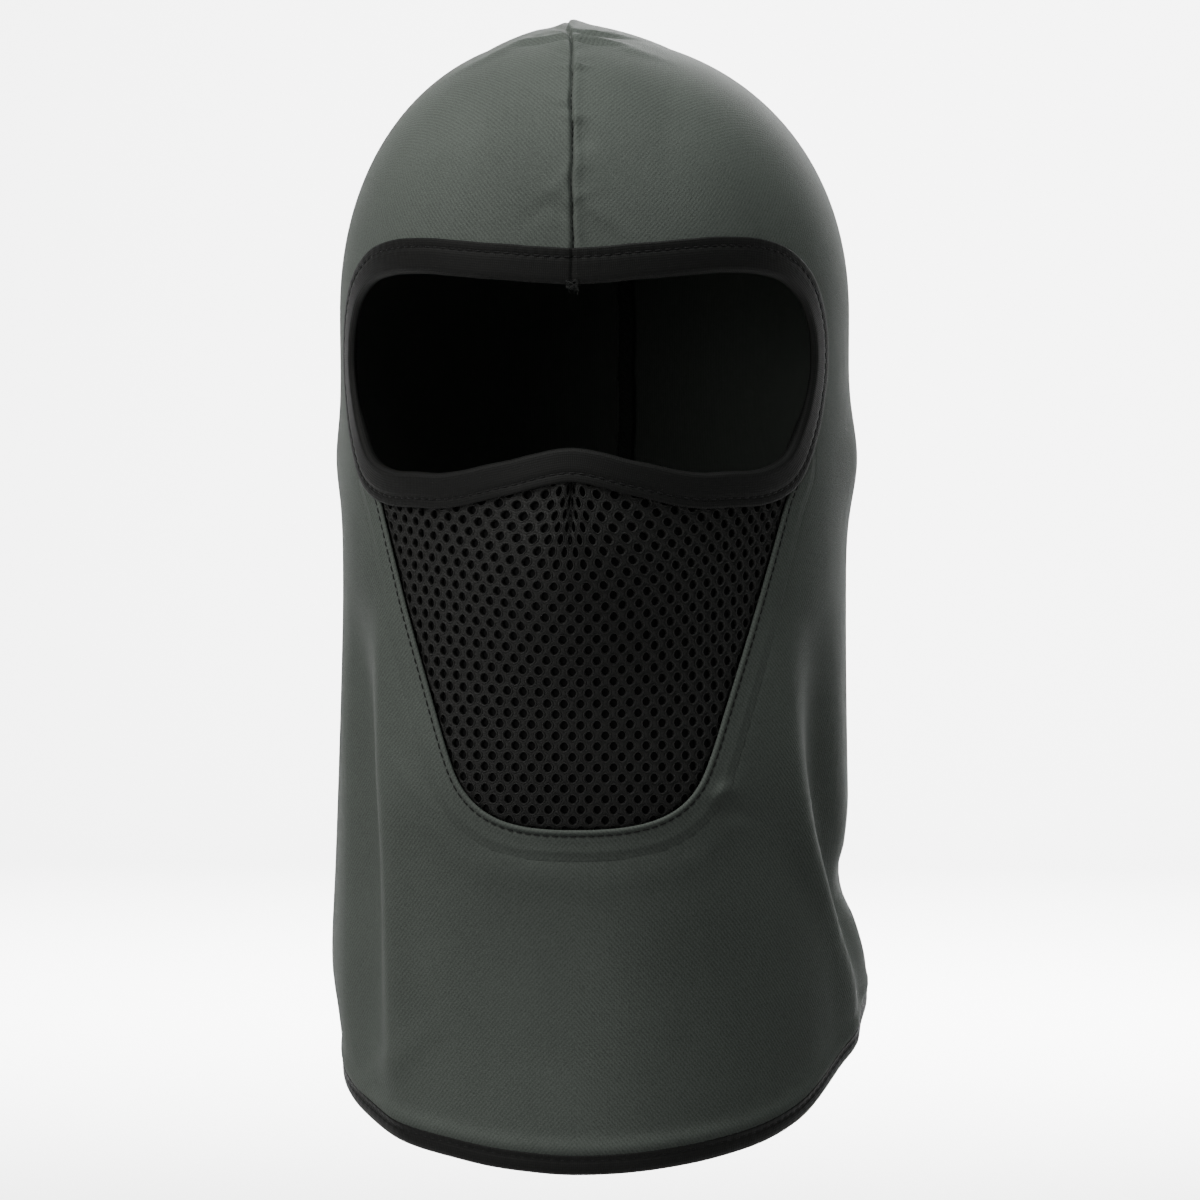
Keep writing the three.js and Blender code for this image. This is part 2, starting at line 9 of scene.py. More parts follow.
import bpy
import numpy as np
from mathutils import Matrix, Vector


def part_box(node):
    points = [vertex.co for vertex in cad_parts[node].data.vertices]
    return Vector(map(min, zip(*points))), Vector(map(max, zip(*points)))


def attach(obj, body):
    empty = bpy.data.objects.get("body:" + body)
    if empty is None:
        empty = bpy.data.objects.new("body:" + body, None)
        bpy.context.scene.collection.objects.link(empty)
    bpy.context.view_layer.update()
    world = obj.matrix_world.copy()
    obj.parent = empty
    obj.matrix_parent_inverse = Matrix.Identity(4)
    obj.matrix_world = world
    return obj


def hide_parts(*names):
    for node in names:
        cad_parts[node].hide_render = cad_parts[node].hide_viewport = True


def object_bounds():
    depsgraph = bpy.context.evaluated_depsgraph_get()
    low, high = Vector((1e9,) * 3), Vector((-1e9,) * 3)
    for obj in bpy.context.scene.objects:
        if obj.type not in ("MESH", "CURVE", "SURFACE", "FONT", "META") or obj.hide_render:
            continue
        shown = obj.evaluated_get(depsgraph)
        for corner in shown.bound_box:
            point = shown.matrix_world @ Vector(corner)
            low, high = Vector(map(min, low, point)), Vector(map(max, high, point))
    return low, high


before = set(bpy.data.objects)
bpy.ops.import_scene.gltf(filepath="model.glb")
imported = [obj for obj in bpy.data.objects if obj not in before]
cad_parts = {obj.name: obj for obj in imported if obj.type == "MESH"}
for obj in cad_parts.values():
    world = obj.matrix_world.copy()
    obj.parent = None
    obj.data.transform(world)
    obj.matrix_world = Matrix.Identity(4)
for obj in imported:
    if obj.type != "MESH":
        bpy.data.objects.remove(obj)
cad_low, cad_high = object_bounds()
MM = 0.001

# ---- Studio ----
# A long lens at the height of the mouth, a pale floor that sweeps up behind, and large soft lamps: the
# key from the upper left and weaker ones on every other side. The wall has a lamp of its own, and the
# light that the wall throws back is kept off the cloth, so that its folds stay clear.

VIEW_AZIMUTH = math.radians(4)
VIEW_ELEVATION = math.radians(1)
VIEW_DISTANCE = 1.6
VIEW_WIDTH = 360 * MM
VIEW_HEIGHT = -35.1 * MM
VIEW_ASIDE = 1.2 * MM
SENSOR_WIDTH = 36.0
FLOOR_BELOW = 0.12
FLOOR_FRONT, FLOOR_BACK, FLOOR_HALF_WIDTH = 4.0, 3.0, 6.0
WALL_BEND, WALL_HEIGHT = 1.2, 3.5
SKY_STRENGTH = 0.34


def aim(item, place, target):
    """Puts a camera or a light at a place, looking at a target."""
    x, y, z = (t - p for t, p in zip(target, place))
    item.location = place
    item.rotation_euler = (math.atan2(math.hypot(x, y), -z), 0, math.atan2(y, x) - math.pi / 2)
    bpy.context.scene.collection.objects.link(item)


def soft_light(name, place, target, size, power, tint):
    """A round area lamp of a width in metres and a power in watts."""
    lamp = bpy.data.lights.new(name, "AREA")
    lamp.shape = "DISK"
    lamp.size = size
    lamp.energy = power
    lamp.color = tint
    aim(bpy.data.objects.new(name, lamp), place, target)


def plain_material(name, colour, roughness):
    material = bpy.data.materials.new(name)
    material.use_nodes = True
    shader = material.node_tree.nodes["Principled BSDF"]
    shader.inputs["Base Color"].default_value = (*colour, 1)
    shader.inputs["Roughness"].default_value = roughness
    return material


def studio_sweep():
    """A sheet that lies flat under the object and curves up behind it: a quarter circle joins floor and
    wall."""
    low = cad_low.z - FLOOR_BELOW
    turn = np.linspace(0, np.pi / 2, 25)
    y = np.concatenate([[-FLOOR_FRONT], FLOOR_BACK + WALL_BEND * np.sin(turn), [FLOOR_BACK + WALL_BEND]])
    z = np.concatenate([[low], low + WALL_BEND * (1 - np.cos(turn)), [low + WALL_HEIGHT]])
    x = np.array([-FLOOR_HALF_WIDTH, FLOOR_HALF_WIDTH])
    points = np.stack([np.tile(x, len(y)), np.repeat(y, 2), np.repeat(z, 2)], axis=1)
    k = 2 * np.arange(len(y) - 1)
    faces = np.stack([k, k + 1, k + 3, k + 2], axis=1)
    mesh = bpy.data.meshes.new("studio_sweep")
    mesh.from_pydata(points.tolist(), [], faces.tolist())
    mesh.shade_smooth()
    sweep_object = bpy.data.objects.new("studio_sweep", mesh)
    bpy.context.scene.collection.objects.link(sweep_object)
    mesh.materials.append(plain_material("studio_white", (0.9, 0.9, 0.9), 0.9))
    sweep_object.visible_diffuse = False


def studio_camera():
    right = np.array([math.cos(VIEW_AZIMUTH), math.sin(VIEW_AZIMUTH), 0])
    back = np.array([
        math.sin(VIEW_AZIMUTH) * math.cos(VIEW_ELEVATION),
        -math.cos(VIEW_AZIMUTH) * math.cos(VIEW_ELEVATION),
        math.sin(VIEW_ELEVATION),
    ])
    target = right * VIEW_ASIDE + np.array([0, 0, VIEW_HEIGHT])
    lens = bpy.data.cameras.new("camera")
    lens.sensor_width = SENSOR_WIDTH
    lens.lens = SENSOR_WIDTH * VIEW_DISTANCE / VIEW_WIDTH
    camera = bpy.data.objects.new("camera", lens)
    aim(camera, tuple(target + back * VIEW_DISTANCE), tuple(target))
    bpy.context.scene.camera = camera


def studio_world():
    world = bpy.data.worlds.new("studio")
    world.use_nodes = True
    sky = world.node_tree.nodes["Background"]
    sky.inputs["Color"].default_value = (1.0, 1.0, 1.0, 1)
    sky.inputs["Strength"].default_value = SKY_STRENGTH
    bpy.context.scene.world = world


studio_camera()
studio_world()
studio_sweep()
middle = (0, 0, VIEW_HEIGHT)
wall_middle = (0, 4.0, 0.4)

# Each lamp's name, place, target, width, power and tint.
lamps = [
    ("key", (-1.35, -0.85, 1.65), middle, 0.9, 74, (1.0, 0.985, 0.97)),
    ("fill", (1.7, -1.1, 0.9), middle, 1.2, 6, (0.94, 1.0, 0.97)),
    ("top", (0.2, -0.3, 1.9), middle, 1.1, 52, (0.97, 1.0, 0.98)),
    ("front", (-0.95, -1.5, 0.25), middle, 1.1, 15, (1.0, 1.0, 0.99)),
    ("back", (0.3, 1.6, 0.9), middle, 1.2, 40, (1.0, 1.0, 1.0)),
    ("backdrop", (0, 1.5, 1.8), wall_middle, 2.0, 680, (1.0, 1.0, 1.0)),
]
for lamp_values in lamps:
    soft_light(*lamp_values)

# ---- Shell ----
# One piece of thin charcoal polyester knit with elastane. It is folded at the front, so the bib has no
# seam, and one overlocked seam closes it from the forehead over the crown and down the back to the hem.

HEAD_HALF_WIDTH = 75.8 * MM
HEAD_FRONT = 95 * MM
HEAD_BACK = 100 * MM
WIDEST_HEIGHT = 50 * MM
CROWN_RISE = 83.2 * MM
CROWN_LEAN = 6.4 * MM
CROWN_ROW_SHARE = 0.36
RIDGE_HEIGHT = 3.8 * MM
RIDGE_HALF_WIDTH = 27 * MM
RIDGE_START = 5 * MM
RIDGE_FULL_SHARE = 0.85
RIDGE_SHARE_BEHIND = 0.4
NOSE_LIFT, NOSE_HALF_ANGLE, NOSE_HEIGHT, NOSE_HALF_HEIGHT = 11, 11, -22, 22
EAR_LIFT, EAR_ANGLE, EAR_HALF_ANGLE, EAR_HEIGHT, EAR_HALF_HEIGHT = 3, 94, 13, 7, 11
PATTERN_RADIUS = 83 * MM
SHELL_THICKNESS = 0.6 * MM
HEM_TAPE_WIDTH = 4.0
SHELL_PAST_OPENING, SHELL_PAST_MOUTH = 2 * MM, 7 * MM
TUCK_DEPTH, TUCK_START, TUCK_RUN = 0.5 * MM, 8.1 * MM, 0.9 * MM
SNAP_DISTANCE = 0.95 * MM
CUT_NEIGHBOURHOOD = 9 * MM
KNIT_TONE = (0.034, 0.0385, 0.0345)

# The powers of the super-ellipses: of the crown's three outlines and of a level section's two halves. At 2
# they are true ellipses, and the larger ones are squarer.
CROWN_SIDE, CROWN_FRONT, CROWN_BACK = 2.15, 2.4, 2.25
SECTION_FRONT, SECTION_BACK = 2.3, 2.15

# How far the side, the front and the back stand off the plain head, as (height, distance), and how high
# the hem lies, as (degrees round, height), all in millimetres.
SIDE_BY_HEIGHT = [
    (-205, -3), (-170, 0), (-145, 1.2), (-110, 0.2), (-60, -0.7), (-20, -0.8), (20, -0.4), (50, 0),
]
FRONT_BY_HEIGHT = [
    (-205, -9), (-150, -8), (-110, -3.5), (-85, 0), (-50, -1), (-10, -1.5), (20, -0.5), (50, 0),
]
BACK_BY_HEIGHT = [
    (-205, -11), (-150, -15), (-100, -21), (-60, -17), (-20, -7), (20, -0.5), (50, 0),
]
HEM_BY_ANGLE = [
    (-180, -176), (-155, -174), (-130, -168), (-110, -166), (-90, -169), (-70, -175), (-50, -183.5),
    (-30, -190.5), (0, -195.5), (30, -190.8), (50, -183), (70, -169), (90, -157.5), (110, -152),
    (130, -157), (155, -170), (180, -176),
]

# Soft folds where the knit hangs free below the jaw: where each one's middle runs, as (height, degrees),
# how far it stands out or in, as (height, distance), and how wide it is in degrees.
FOLDS = [
    ([(-200, -36), (-175, -38), (-100, -38.6), (-40, -39.5)],
     [(-200, 0.2), (-182, 1.2), (-150, 2.8), (-90, 3), (-50, 2), (-25, 0)], 3.4),
    ([(-200, -50), (-100, -50), (-40, -54)],
     [(-200, 0), (-178, -1), (-150, -4.6), (-90, -6.4), (-60, -5), (-42, -2), (-25, 0)], 6),
    ([(-200, -88), (-40, -88)],
     [(-190, -4), (-175, -2.8), (-160, -0.6), (-145, 1.8), (-125, 2.0), (-60, 0.8), (-30, 0)], 11),
    ([(-200, 78), (-150, 72), (-125, 62), (-112, 54), (-101, 49.5), (-85, 46), (-72, 44), (-45, 44)],
     [(-190, 0.2), (-170, 1.2), (-145, 2.6), (-100, 3.2), (-60, 1.8), (-35, 0)], 4.5),
    ([(-165, 84), (-119, 71), (-100, 64), (-80, 59), (-45, 57)],
     [(-175, 0), (-160, -0.6), (-145, -2.4), (-115, -6.2), (-80, -5.8), (-50, -2.4), (-30, 0)], 7),
    ([(-165, 92), (-95, 92)],
     [(-190, 2), (-175, 3.2), (-160, 3.8), (-145, 4.4), (-131, 1), (-119, -4), (-107, -1.4), (-92, 0)], 14),
    ([(-200, 8), (-120, 14)],
     [(-200, 0.5), (-160, 0.9), (-125, 0.4), (-105, 0)], 9),
    ([(-200, -22), (-120, -16)],
     [(-200, -0.4), (-160, -0.8), (-125, -0.4), (-108, 0)], 10),
]

# The folds at the nape: degrees round at the hem and at the top, distance out at the hem, halfway and above,
# the heights of the last of these and of the fold's end, and its width.
for low, high, at_hem, halfway, above, above_height, end, width in [
    (122, 116, 2.6, 2.4, 1.4, -90, -40, 7),
    (138, 134, -2.4, -2.6, -1.6, -90, -40, 7),
    (157, 152, 2.8, 2.2, 1.4, -100, -50, 7),
    (-116, -110, -2.2, -2, -1, -90, -40, 7),
    (-131, -127, 3, 2.8, 1.6, -90, -40, 6),
    (-150, -147, -2.2, -2.6, -1.8, -90, -45, 8),
    (-168, -166, 2, 1.8, 1.2, -90, -45, 6),
]:
    lifts = [(-200, at_hem), (-140, halfway), (above_height, above), (end, 0)]
    FOLDS.append(([(-200, low), (-60, high)], lifts, width))


def curve_through(pairs, at):
    """A smooth curve through (position, value) pairs: a cubic between each two, whose slope at a pair is
    that of the line joining its neighbours, and level past both ends."""
    x, y = np.array(pairs, float).T
    slope = np.zeros_like(y)
    slope[1:-1] = (y[2:] - y[:-2]) / (x[2:] - x[:-2])
    at = np.clip(at, x[0], x[-1])
    i = np.clip(np.searchsorted(x, at, side="right") - 1, 0, len(x) - 2)
    span = x[i + 1] - x[i]
    t = (at - x[i]) / span
    rise = y[i] + (y[i + 1] - y[i]) * t * t * (3 - 2 * t)
    return rise + t * (1 - t) ** 2 * span * slope[i] + t * t * (t - 1) * span * slope[i + 1]


def unit(vectors):
    """Vectors brought to length 1."""
    return vectors / np.linalg.norm(vectors, axis=-1, keepdims=True)


def smooth_step(value, low, high):
    """0 below low, 1 above high, and a cubic between them."""
    t = np.clip((value - low) / (high - low), 0, 1)
    return t * t * (3 - 2 * t)


def bump(value, middle_of_bump, spread):
    """A bell curve of height 1."""
    return np.exp(-0.5 * ((value - middle_of_bump) / spread) ** 2)


def hem_height(angle):
    return curve_through(HEM_BY_ANGLE, (np.degrees(angle) + 180) % 360 - 180) * MM


def crown_share(height, roundness):
    """What is left of the widest size above the widest level: a super-ellipse of the rise."""
    rise = np.clip((height - WIDEST_HEIGHT) / CROWN_RISE, 0, 1)
    return np.maximum(1 - rise**roundness, 1e-9) ** (1 / roundness)


def height_of(angle, row):
    """Rows run from 0 at the crown's top, past the widest level at CROWN_ROW_SHARE, to 1 at the hem."""
    turn = np.clip(row / CROWN_ROW_SHARE, 0, 1) * np.pi / 2
    above = WIDEST_HEIGHT + CROWN_RISE * np.maximum(np.cos(turn), 0) ** (2 / CROWN_SIDE)
    down = (row - CROWN_ROW_SHARE) / (1 - CROWN_ROW_SHARE)
    below = WIDEST_HEIGHT + (hem_height(angle) - WIDEST_HEIGHT) * down
    return np.where(row < CROWN_ROW_SHARE, above, below)


def row_of(angle, height):
    """The row at a height: height_of turned round."""
    rise = np.clip((height - WIDEST_HEIGHT) / CROWN_RISE, 0, 1)
    above = np.arccos(rise ** (CROWN_SIDE / 2)) / (np.pi / 2) * CROWN_ROW_SHARE
    down = (WIDEST_HEIGHT - height) / (WIDEST_HEIGHT - hem_height(angle))
    return np.where(height > WIDEST_HEIGHT, above, CROWN_ROW_SHARE + down * (1 - CROWN_ROW_SHARE))


def cloth_reach(angle, height):
    """Distance from the upright axis: a super-ellipse of the width and depth at this height, with a
    bell-shaped bulge for the nose and for each ear, and the soft folds."""
    degrees, tall = np.degrees(angle), height / MM
    side = (HEAD_HALF_WIDTH + curve_through(SIDE_BY_HEIGHT, tall) * MM) * crown_share(height, CROWN_SIDE)
    front = (HEAD_FRONT + curve_through(FRONT_BY_HEIGHT, tall) * MM) * crown_share(height, CROWN_FRONT)
    back = (HEAD_BACK + curve_through(BACK_BY_HEIGHT, tall) * MM) * crown_share(height, CROWN_BACK)
    faces_front = np.cos(angle) > 0
    depth = np.where(faces_front, front, back)
    power = np.where(faces_front, SECTION_FRONT, SECTION_BACK)
    across, deep = np.abs(np.sin(angle) / side) ** power, np.abs(np.cos(angle) / depth) ** power
    out = NOSE_LIFT * bump(degrees, 0, NOSE_HALF_ANGLE) * bump(tall, NOSE_HEIGHT, NOSE_HALF_HEIGHT)
    ear = bump(np.abs(degrees), EAR_ANGLE, EAR_HALF_ANGLE)
    out = out + EAR_LIFT * ear * bump(tall, EAR_HEIGHT, EAR_HALF_HEIGHT)
    for path, lift, width in FOLDS:
        out = out + curve_through(lift, tall) * bump(degrees, curve_through(path, tall), width)
    return (across + deep) ** (-1 / power) + out * MM


def lean(height):
    """How far the crown sits to the wearer's right: nothing at its widest level, all of it at the top."""
    return -CROWN_LEAN * (1 - crown_share(height, CROWN_FRONT))


def cloth_point(angle, row):
    """The worn cloth's outer face: reach and height as a point, raised in a low ridge along the seam."""
    height = height_of(angle, row)
    reach = np.where(row > 0, cloth_reach(angle, height), 0)
    x, y = reach * np.sin(angle), -reach * np.cos(angle)
    up = np.maximum(height - WIDEST_HEIGHT, 0)
    length = np.sqrt(x * x + y * y + up * up) + 1e-12
    least = np.where(np.cos(angle) > 0, 0, RIDGE_SHARE_BEHIND)
    crown = smooth_step(height, WIDEST_HEIGHT + RIDGE_START, WIDEST_HEIGHT + RIDGE_FULL_SHARE * CROWN_RISE)
    near = np.maximum(0, 1 - np.abs(x) / RIDGE_HALF_WIDTH)
    grow = 1 + RIDGE_HEIGHT * (least + (1 - least) * crown) * near / length
    point = np.stack([x * grow, y * grow, height + up * (grow - 1)], axis=-1)
    point[..., 0] += lean(height)
    return point


def cloth_normal(angle, row):
    """The direction out of the cloth: the cross product of a small step down and a small step round."""
    step = 1e-3
    row = np.maximum(row, 2 * step)
    along = cloth_point(angle + step, row) - cloth_point(angle - step, row)
    down = cloth_point(angle, row + step) - cloth_point(angle, row - step)
    return unit(np.cross(down, along))


def on_cloth(angle, row, out):
    """A point a distance out from the cloth's outer face, negative inside it."""
    return cloth_point(angle, row) + cloth_normal(angle, row) * np.asarray(out)[..., None]


def place_of(point):
    """The angle and row of a point near the cloth."""
    height = point[..., 2]
    angle = np.arctan2(point[..., 0] - lean(height), -point[..., 1])
    return angle, row_of(angle, height)


# The face opening's finished edge on the flat pattern, as millimetres across from the front and height,
# from the top middle to the bottom middle; and the mouth panel's, as a taper with round lower corners.
OPENING_HALF = [
    (0, 57.4), (21.5, 59.2), (44, 61.2), (60, 59.4), (71, 53.2), (77, 44), (78.5, 35), (76, 25),
    (70.5, 14), (64, 6), (54, 2), (43, 1.2), (31, 1), (16, 4.2), (0, 8),
]
OPENING_ASKEW = -1.2
MOUTH_TOP, MOUTH_SIDE_MIDDLE, MOUTH_LOW = (67, 8), (48.2, -36), (33.5, -80)
MOUTH_BOTTOM = -98.8
MOUTH_CORNER = 17
MOUTH_ASKEW = 1.4
ASKEW_BY = 30
OPENING_STEPS, MOUTH_STEPS = 680, 400
OPENING_GATHERED = 0.75


def path_length(points, closed):
    """The distance travelled at each point of a path, and the whole length."""
    steps = np.linalg.norm(np.roll(points, -1, axis=0) - points, axis=1)
    travelled = np.concatenate([[0], np.cumsum(steps)])
    return travelled[: len(points)], travelled[-1] if closed else travelled[-2]


def closed_outline(half, askew, count, gathered=0.0):
    """A closed loop through the points of its right half and their mirror images. Its steps are even, or
    closer at the top middle with gathered. askew moves it across, by all of it from ASKEW_BY outwards."""
    half = np.array(half, float)
    left = half[-2:0:-1] * (-1, 1)
    loop = np.vstack([half, left])
    loop[:, 0] += askew * smooth_step(np.abs(loop[:, 0]), 0, ASKEW_BY)
    wrapped = np.vstack([loop[-3:], loop, loop[:4]])
    travelled, _ = path_length(wrapped, False)
    start, end = travelled[3], travelled[3 + len(loop)]
    fine = np.linspace(start, end, 4001)
    curve = np.stack([curve_through(list(zip(travelled, wrapped[:, k])), fine) for k in (0, 1)], axis=1)
    reached, length = path_length(curve, False)
    share = np.linspace(0, 1, count, endpoint=False)
    marks = length * (share - gathered * np.sin(2 * np.pi * share) / (2 * np.pi))
    return np.stack([np.interp(marks, reached, curve[:, k]) for k in (0, 1)], axis=1) * MM


def mouth_half():
    """The mouth panel's right half: a quadratic curve down the side, a cubic round the lower corner."""
    top, side, low = (np.array(p, float) for p in (MOUTH_TOP, MOUTH_SIDE_MIDDLE, MOUTH_LOW))
    t = np.linspace(0, 1, 7)[:, None]
    down = (1 - t) ** 2 * top + 2 * t * (1 - t) * side + t * t * low
    lean_in = (low - side) / np.linalg.norm(low - side)
    ends = [low, low + lean_in * MOUTH_CORNER, np.array([MOUTH_CORNER, MOUTH_BOTTOM])]
    ends.append(np.array([0, MOUTH_BOTTOM]))
    t = np.linspace(0, 1, 8)[1:, None]
    weights = [(1 - t) ** 3, 3 * t * (1 - t) ** 2, 3 * t * t * (1 - t), t**3]
    corner = sum(w * p for w, p in zip(weights, ends))
    return np.vstack([[(0, MOUTH_TOP[1] + 12)], down, corner])


OPENING = closed_outline(OPENING_HALF, OPENING_ASKEW, OPENING_STEPS, OPENING_GATHERED)
MOUTH = closed_outline(mouth_half(), MOUTH_ASKEW, MOUTH_STEPS)


def as_place(flat):
    """The angle and row of points on the flat pattern."""
    angle = flat[..., 0] / PATTERN_RADIUS
    return angle, row_of(angle, flat[..., 1])


def distance_to(outline, flat):
    """Signed distance on the flat pattern from a closed outline, positive outside, and the nearest point
    on it. Each point is projected on every side of the outline, and a ray across tells in from out."""
    start, end = outline, np.roll(outline, -1, axis=0)
    side = end - start
    distance = np.empty(len(flat))
    nearest = np.empty_like(flat)
    for chunk in np.array_split(np.arange(len(flat)), max(1, len(flat) // 4000)):
        offset = flat[chunk, None] - start
        t = np.clip((offset * side).sum(-1) / (side * side).sum(-1), 0, 1)
        foot = start + side * t[..., None]
        gap = np.linalg.norm(flat[chunk, None] - foot, axis=-1)
        best = gap.argmin(axis=1)
        pick = np.arange(len(chunk))
        x, z = flat[chunk, None, 0], flat[chunk, None, 1]
        spans = (start[:, 1] > z) != (end[:, 1] > z)
        upright = np.where(side[:, 1] == 0, 1e-12, side[:, 1])
        cross_at = start[:, 0] + (z - start[:, 1]) * side[:, 0] / upright
        inside = (spans & (cross_at > x)).sum(axis=1) % 2 == 1
        distance[chunk] = np.where(inside, -1, 1) * gap[pick, best]
        nearest[chunk] = foot[pick, best]
    return distance, nearest


def widened(outline, distance):
    """An outline moved a distance away from its middle on the flat pattern."""
    onward = np.roll(outline, -1, axis=0) - np.roll(outline, 1, axis=0)
    aside = np.stack([-onward[:, 1], onward[:, 0]], axis=1)
    return outline + unit(aside) * distance


def steps_between(stretches):
    """Positions from 0 outwards, given (end, spacing) for each stretch in millimetres."""
    found, at = [0.0], 0.0
    for end, spacing in stretches:
        count = max(1, round((end - at) / spacing))
        found += list(np.linspace(at, end, count + 1)[1:])
        at = end
    return np.array(found) * MM


def grid_faces(rows, columns, closed):
    """Four-cornered faces of a grid that is numbered row by row, closed round if asked."""
    i = np.arange(rows - 1)[:, None]
    j = np.arange(columns if closed else columns - 1)[None]
    k = (j + 1) % columns
    below = i + 1
    faces = np.stack([i * columns + j, below * columns + j, below * columns + k, i * columns + k], axis=-1)
    return faces.reshape(-1, 4)


def cut_sheet(across, rows, closed, cuts):
    """A sheet on a grid of the flat pattern, cut along outlines. cuts holds (outline, side): side 1 keeps
    what is outside it. Grid points close to a cut move on to it, so that the cut edge is a clean line,
    and a face with one corner cut off becomes a triangle. Returns flat points, rows and faces."""
    spread, down = np.meshgrid(across, rows)
    flat = np.stack([spread.ravel(), height_of(spread / PATTERN_RADIUS, down).ravel()], axis=1)
    row = down.ravel().copy()
    level = np.full(len(flat), 1.0)
    nearest = flat.copy()
    for outline, side in cuts:
        low, high = outline.min(0) - CUT_NEIGHBOURHOOD, outline.max(0) + CUT_NEIGHBOURHOOD
        near = np.all((flat > low) & (flat < high), axis=1)
        distance = np.full(len(flat), side * 1.0)
        foot = flat.copy()
        distance[near], foot[near] = distance_to(outline, flat[near])
        distance[near] *= side
        closer = distance < level
        level[closer], nearest[closer] = distance[closer], foot[closer]
    snapped = np.abs(level) < SNAP_DISTANCE
    flat[snapped] = nearest[snapped]
    row[snapped] = row_of(flat[snapped, 0] / PATTERN_RADIUS, flat[snapped, 1])
    settled = np.where(snapped, 0, level)
    faces = grid_faces(len(rows), len(across), closed)
    corner = settled[faces]
    cut_off = corner < 0
    whole = ~cut_off.any(axis=1) & ((corner > 0).any(axis=1) | (level[faces].sum(axis=1) > 0))
    clipped = cut_off.sum(axis=1) == 1
    gone = cut_off[clipped].argmax(axis=1)
    turn = (gone[:, None] + np.array([1, 2, 3])) % 4
    triangles = np.take_along_axis(faces[clipped], turn, axis=1)
    return flat, row, [faces[whole], triangles]


def mesh_from(name, points, faces, flat, material, closed_round=0.0):
    """A smooth mesh object whose faces are turned to look away from the head's middle or, on a closed
    piece, out of it. flat gives each point its place on the flat pattern or tape, in metres, as the UV
    map named cloth; closed_round is the distance round at which that map starts again."""
    looks_out = 0.0
    for part in faces:
        corner = points[part]
        opposite = 1 if part.shape[1] > 3 else 0
        facing = np.cross(corner[:, 2] - corner[:, 0], corner[:, -1] - corner[:, opposite])
        looks_out += (facing * corner.mean(axis=1)).sum()
    if looks_out < 0:
        faces = [part[:, ::-1] for part in faces]
    used, renumbered = np.unique(np.concatenate([f.ravel() for f in faces]), return_inverse=True)
    sizes = [f.shape for f in faces]
    splits = np.cumsum([f.size for f in faces])[:-1]
    faces = [part.reshape(shape) for part, shape in zip(np.split(renumbered.ravel(), splits), sizes)]
    mesh = bpy.data.meshes.new(name)
    mesh.from_pydata(points[used].tolist(), [], [face for part in faces for face in part.tolist()])
    corners = []
    for part in faces:
        spot = flat[used][part].copy()
        if closed_round:
            torn = spot[..., 0].max(axis=1) - spot[..., 0].min(axis=1) > closed_round / 2
            behind = torn[:, None] & (spot[..., 0] < spot[..., 0].mean(axis=1, keepdims=True))
            spot[..., 0] += closed_round * behind
        corners.append(spot.reshape(-1, 2))
    layer = mesh.uv_layers.new(name="cloth")
    layer.data.foreach_set("uv", np.concatenate(corners).ravel().astype(np.float32))
    mesh.materials.append(material)
    mesh.shade_smooth()
    piece = bpy.data.objects.new(name, mesh)
    bpy.context.scene.collection.objects.link(piece)
    return piece


# Short creases: where the middle lies across and up, in millimetres, the slant in degrees, then half the
# length, half the width and how far each is raised, in millimetres.
CREASES = [
    (-12, 129.0, 6, 5, 0.45, 0.9),
    (-12, 128.0, 8, 5, 0.4, -0.9),
    (-24, 126.0, 25, 9, 0.8, 0.7),
    (3, 131.0, -4, 6, 0.3, 0.9),
    (3, 130.3, -5, 6, 0.25, -1.0),
    (1, 128.4, -8, 6, 0.35, 1.1),
    (1, 127.5, -8, 6, 0.3, -1.2),
    (-1, 118.9, -4, 2.4, 0.5, 1.1),
    (-1, 117.7, -4, 2.4, 0.45, -0.8),
    (-0.5, 103.6, -6, 2.2, 0.6, 1.0),
    (12, 126.0, -16, 7, 0.8, 0.6),
    (2, 98.5, -60, 3.2, 1.9, -1.1),
    (-4, 84, 50, 5, 1.6, 0.45),
    (-9, 77, 38, 6, 1.4, -0.35),
    (7, 76, -40, 5, 1.4, 0.45),
    (-50, -64, -66, 8, 1.5, 0.4),
    (-47, -88, -52, 7, 1.5, 0.45),
    (-41, -100, -40, 8, 1.8, 0.35),
    (42, -88, 35, 2.6, 1.5, 1.2),
    (45, -94, -20, 4, 1.5, -0.7),
    (40, -102, 40, 7, 1.8, 0.4),
    (24, -110, 12, 12, 2.4, 0.5),
    (-14, -111, -8, 13, 2.4, 0.5),
    (-52, -165, 40, 12, 2.0, 0.7),
]

# The centre seam is measured by height in front and by SEAM_TURN less the height behind, in millimetres.
# It starts under the face tape. It lies in a groove between two puffed edges, with small puckers beside it
# that are larger on the wearer's right.
SEAM_TURN = 300
SEAM_START, SEAM_END = 56, 480
GROOVE_DEPTH, GROOVE_HALF_WIDTH = 1.2, 0.34
PUFF_LIFT, PUFF_AWAY, PUFF_HALF_WIDTH = 0.34, 1.6, 0.9
PUCKER_PITCH = 4.7
PUCKER_SPREAD = {-1: 0.8, 1: 0.6}
HEM_PUFF, HEM_PUFF_ABOVE, HEM_PUFF_HALF_WIDTH, HEM_DIP = 0.75, 1.6, 1.7, 0.4


def along_seam(behind, height):
    """The measure along the centre seam at a height in millimetres."""
    return np.where(behind, SEAM_TURN - height, height)


def seam_sway(travelled):
    """How the centre seam wanders from a straight line, in millimetres along it."""
    return 0.2 * np.sin(travelled / 4.1) + 0.12 * np.sin(travelled / 1.9 + 1)


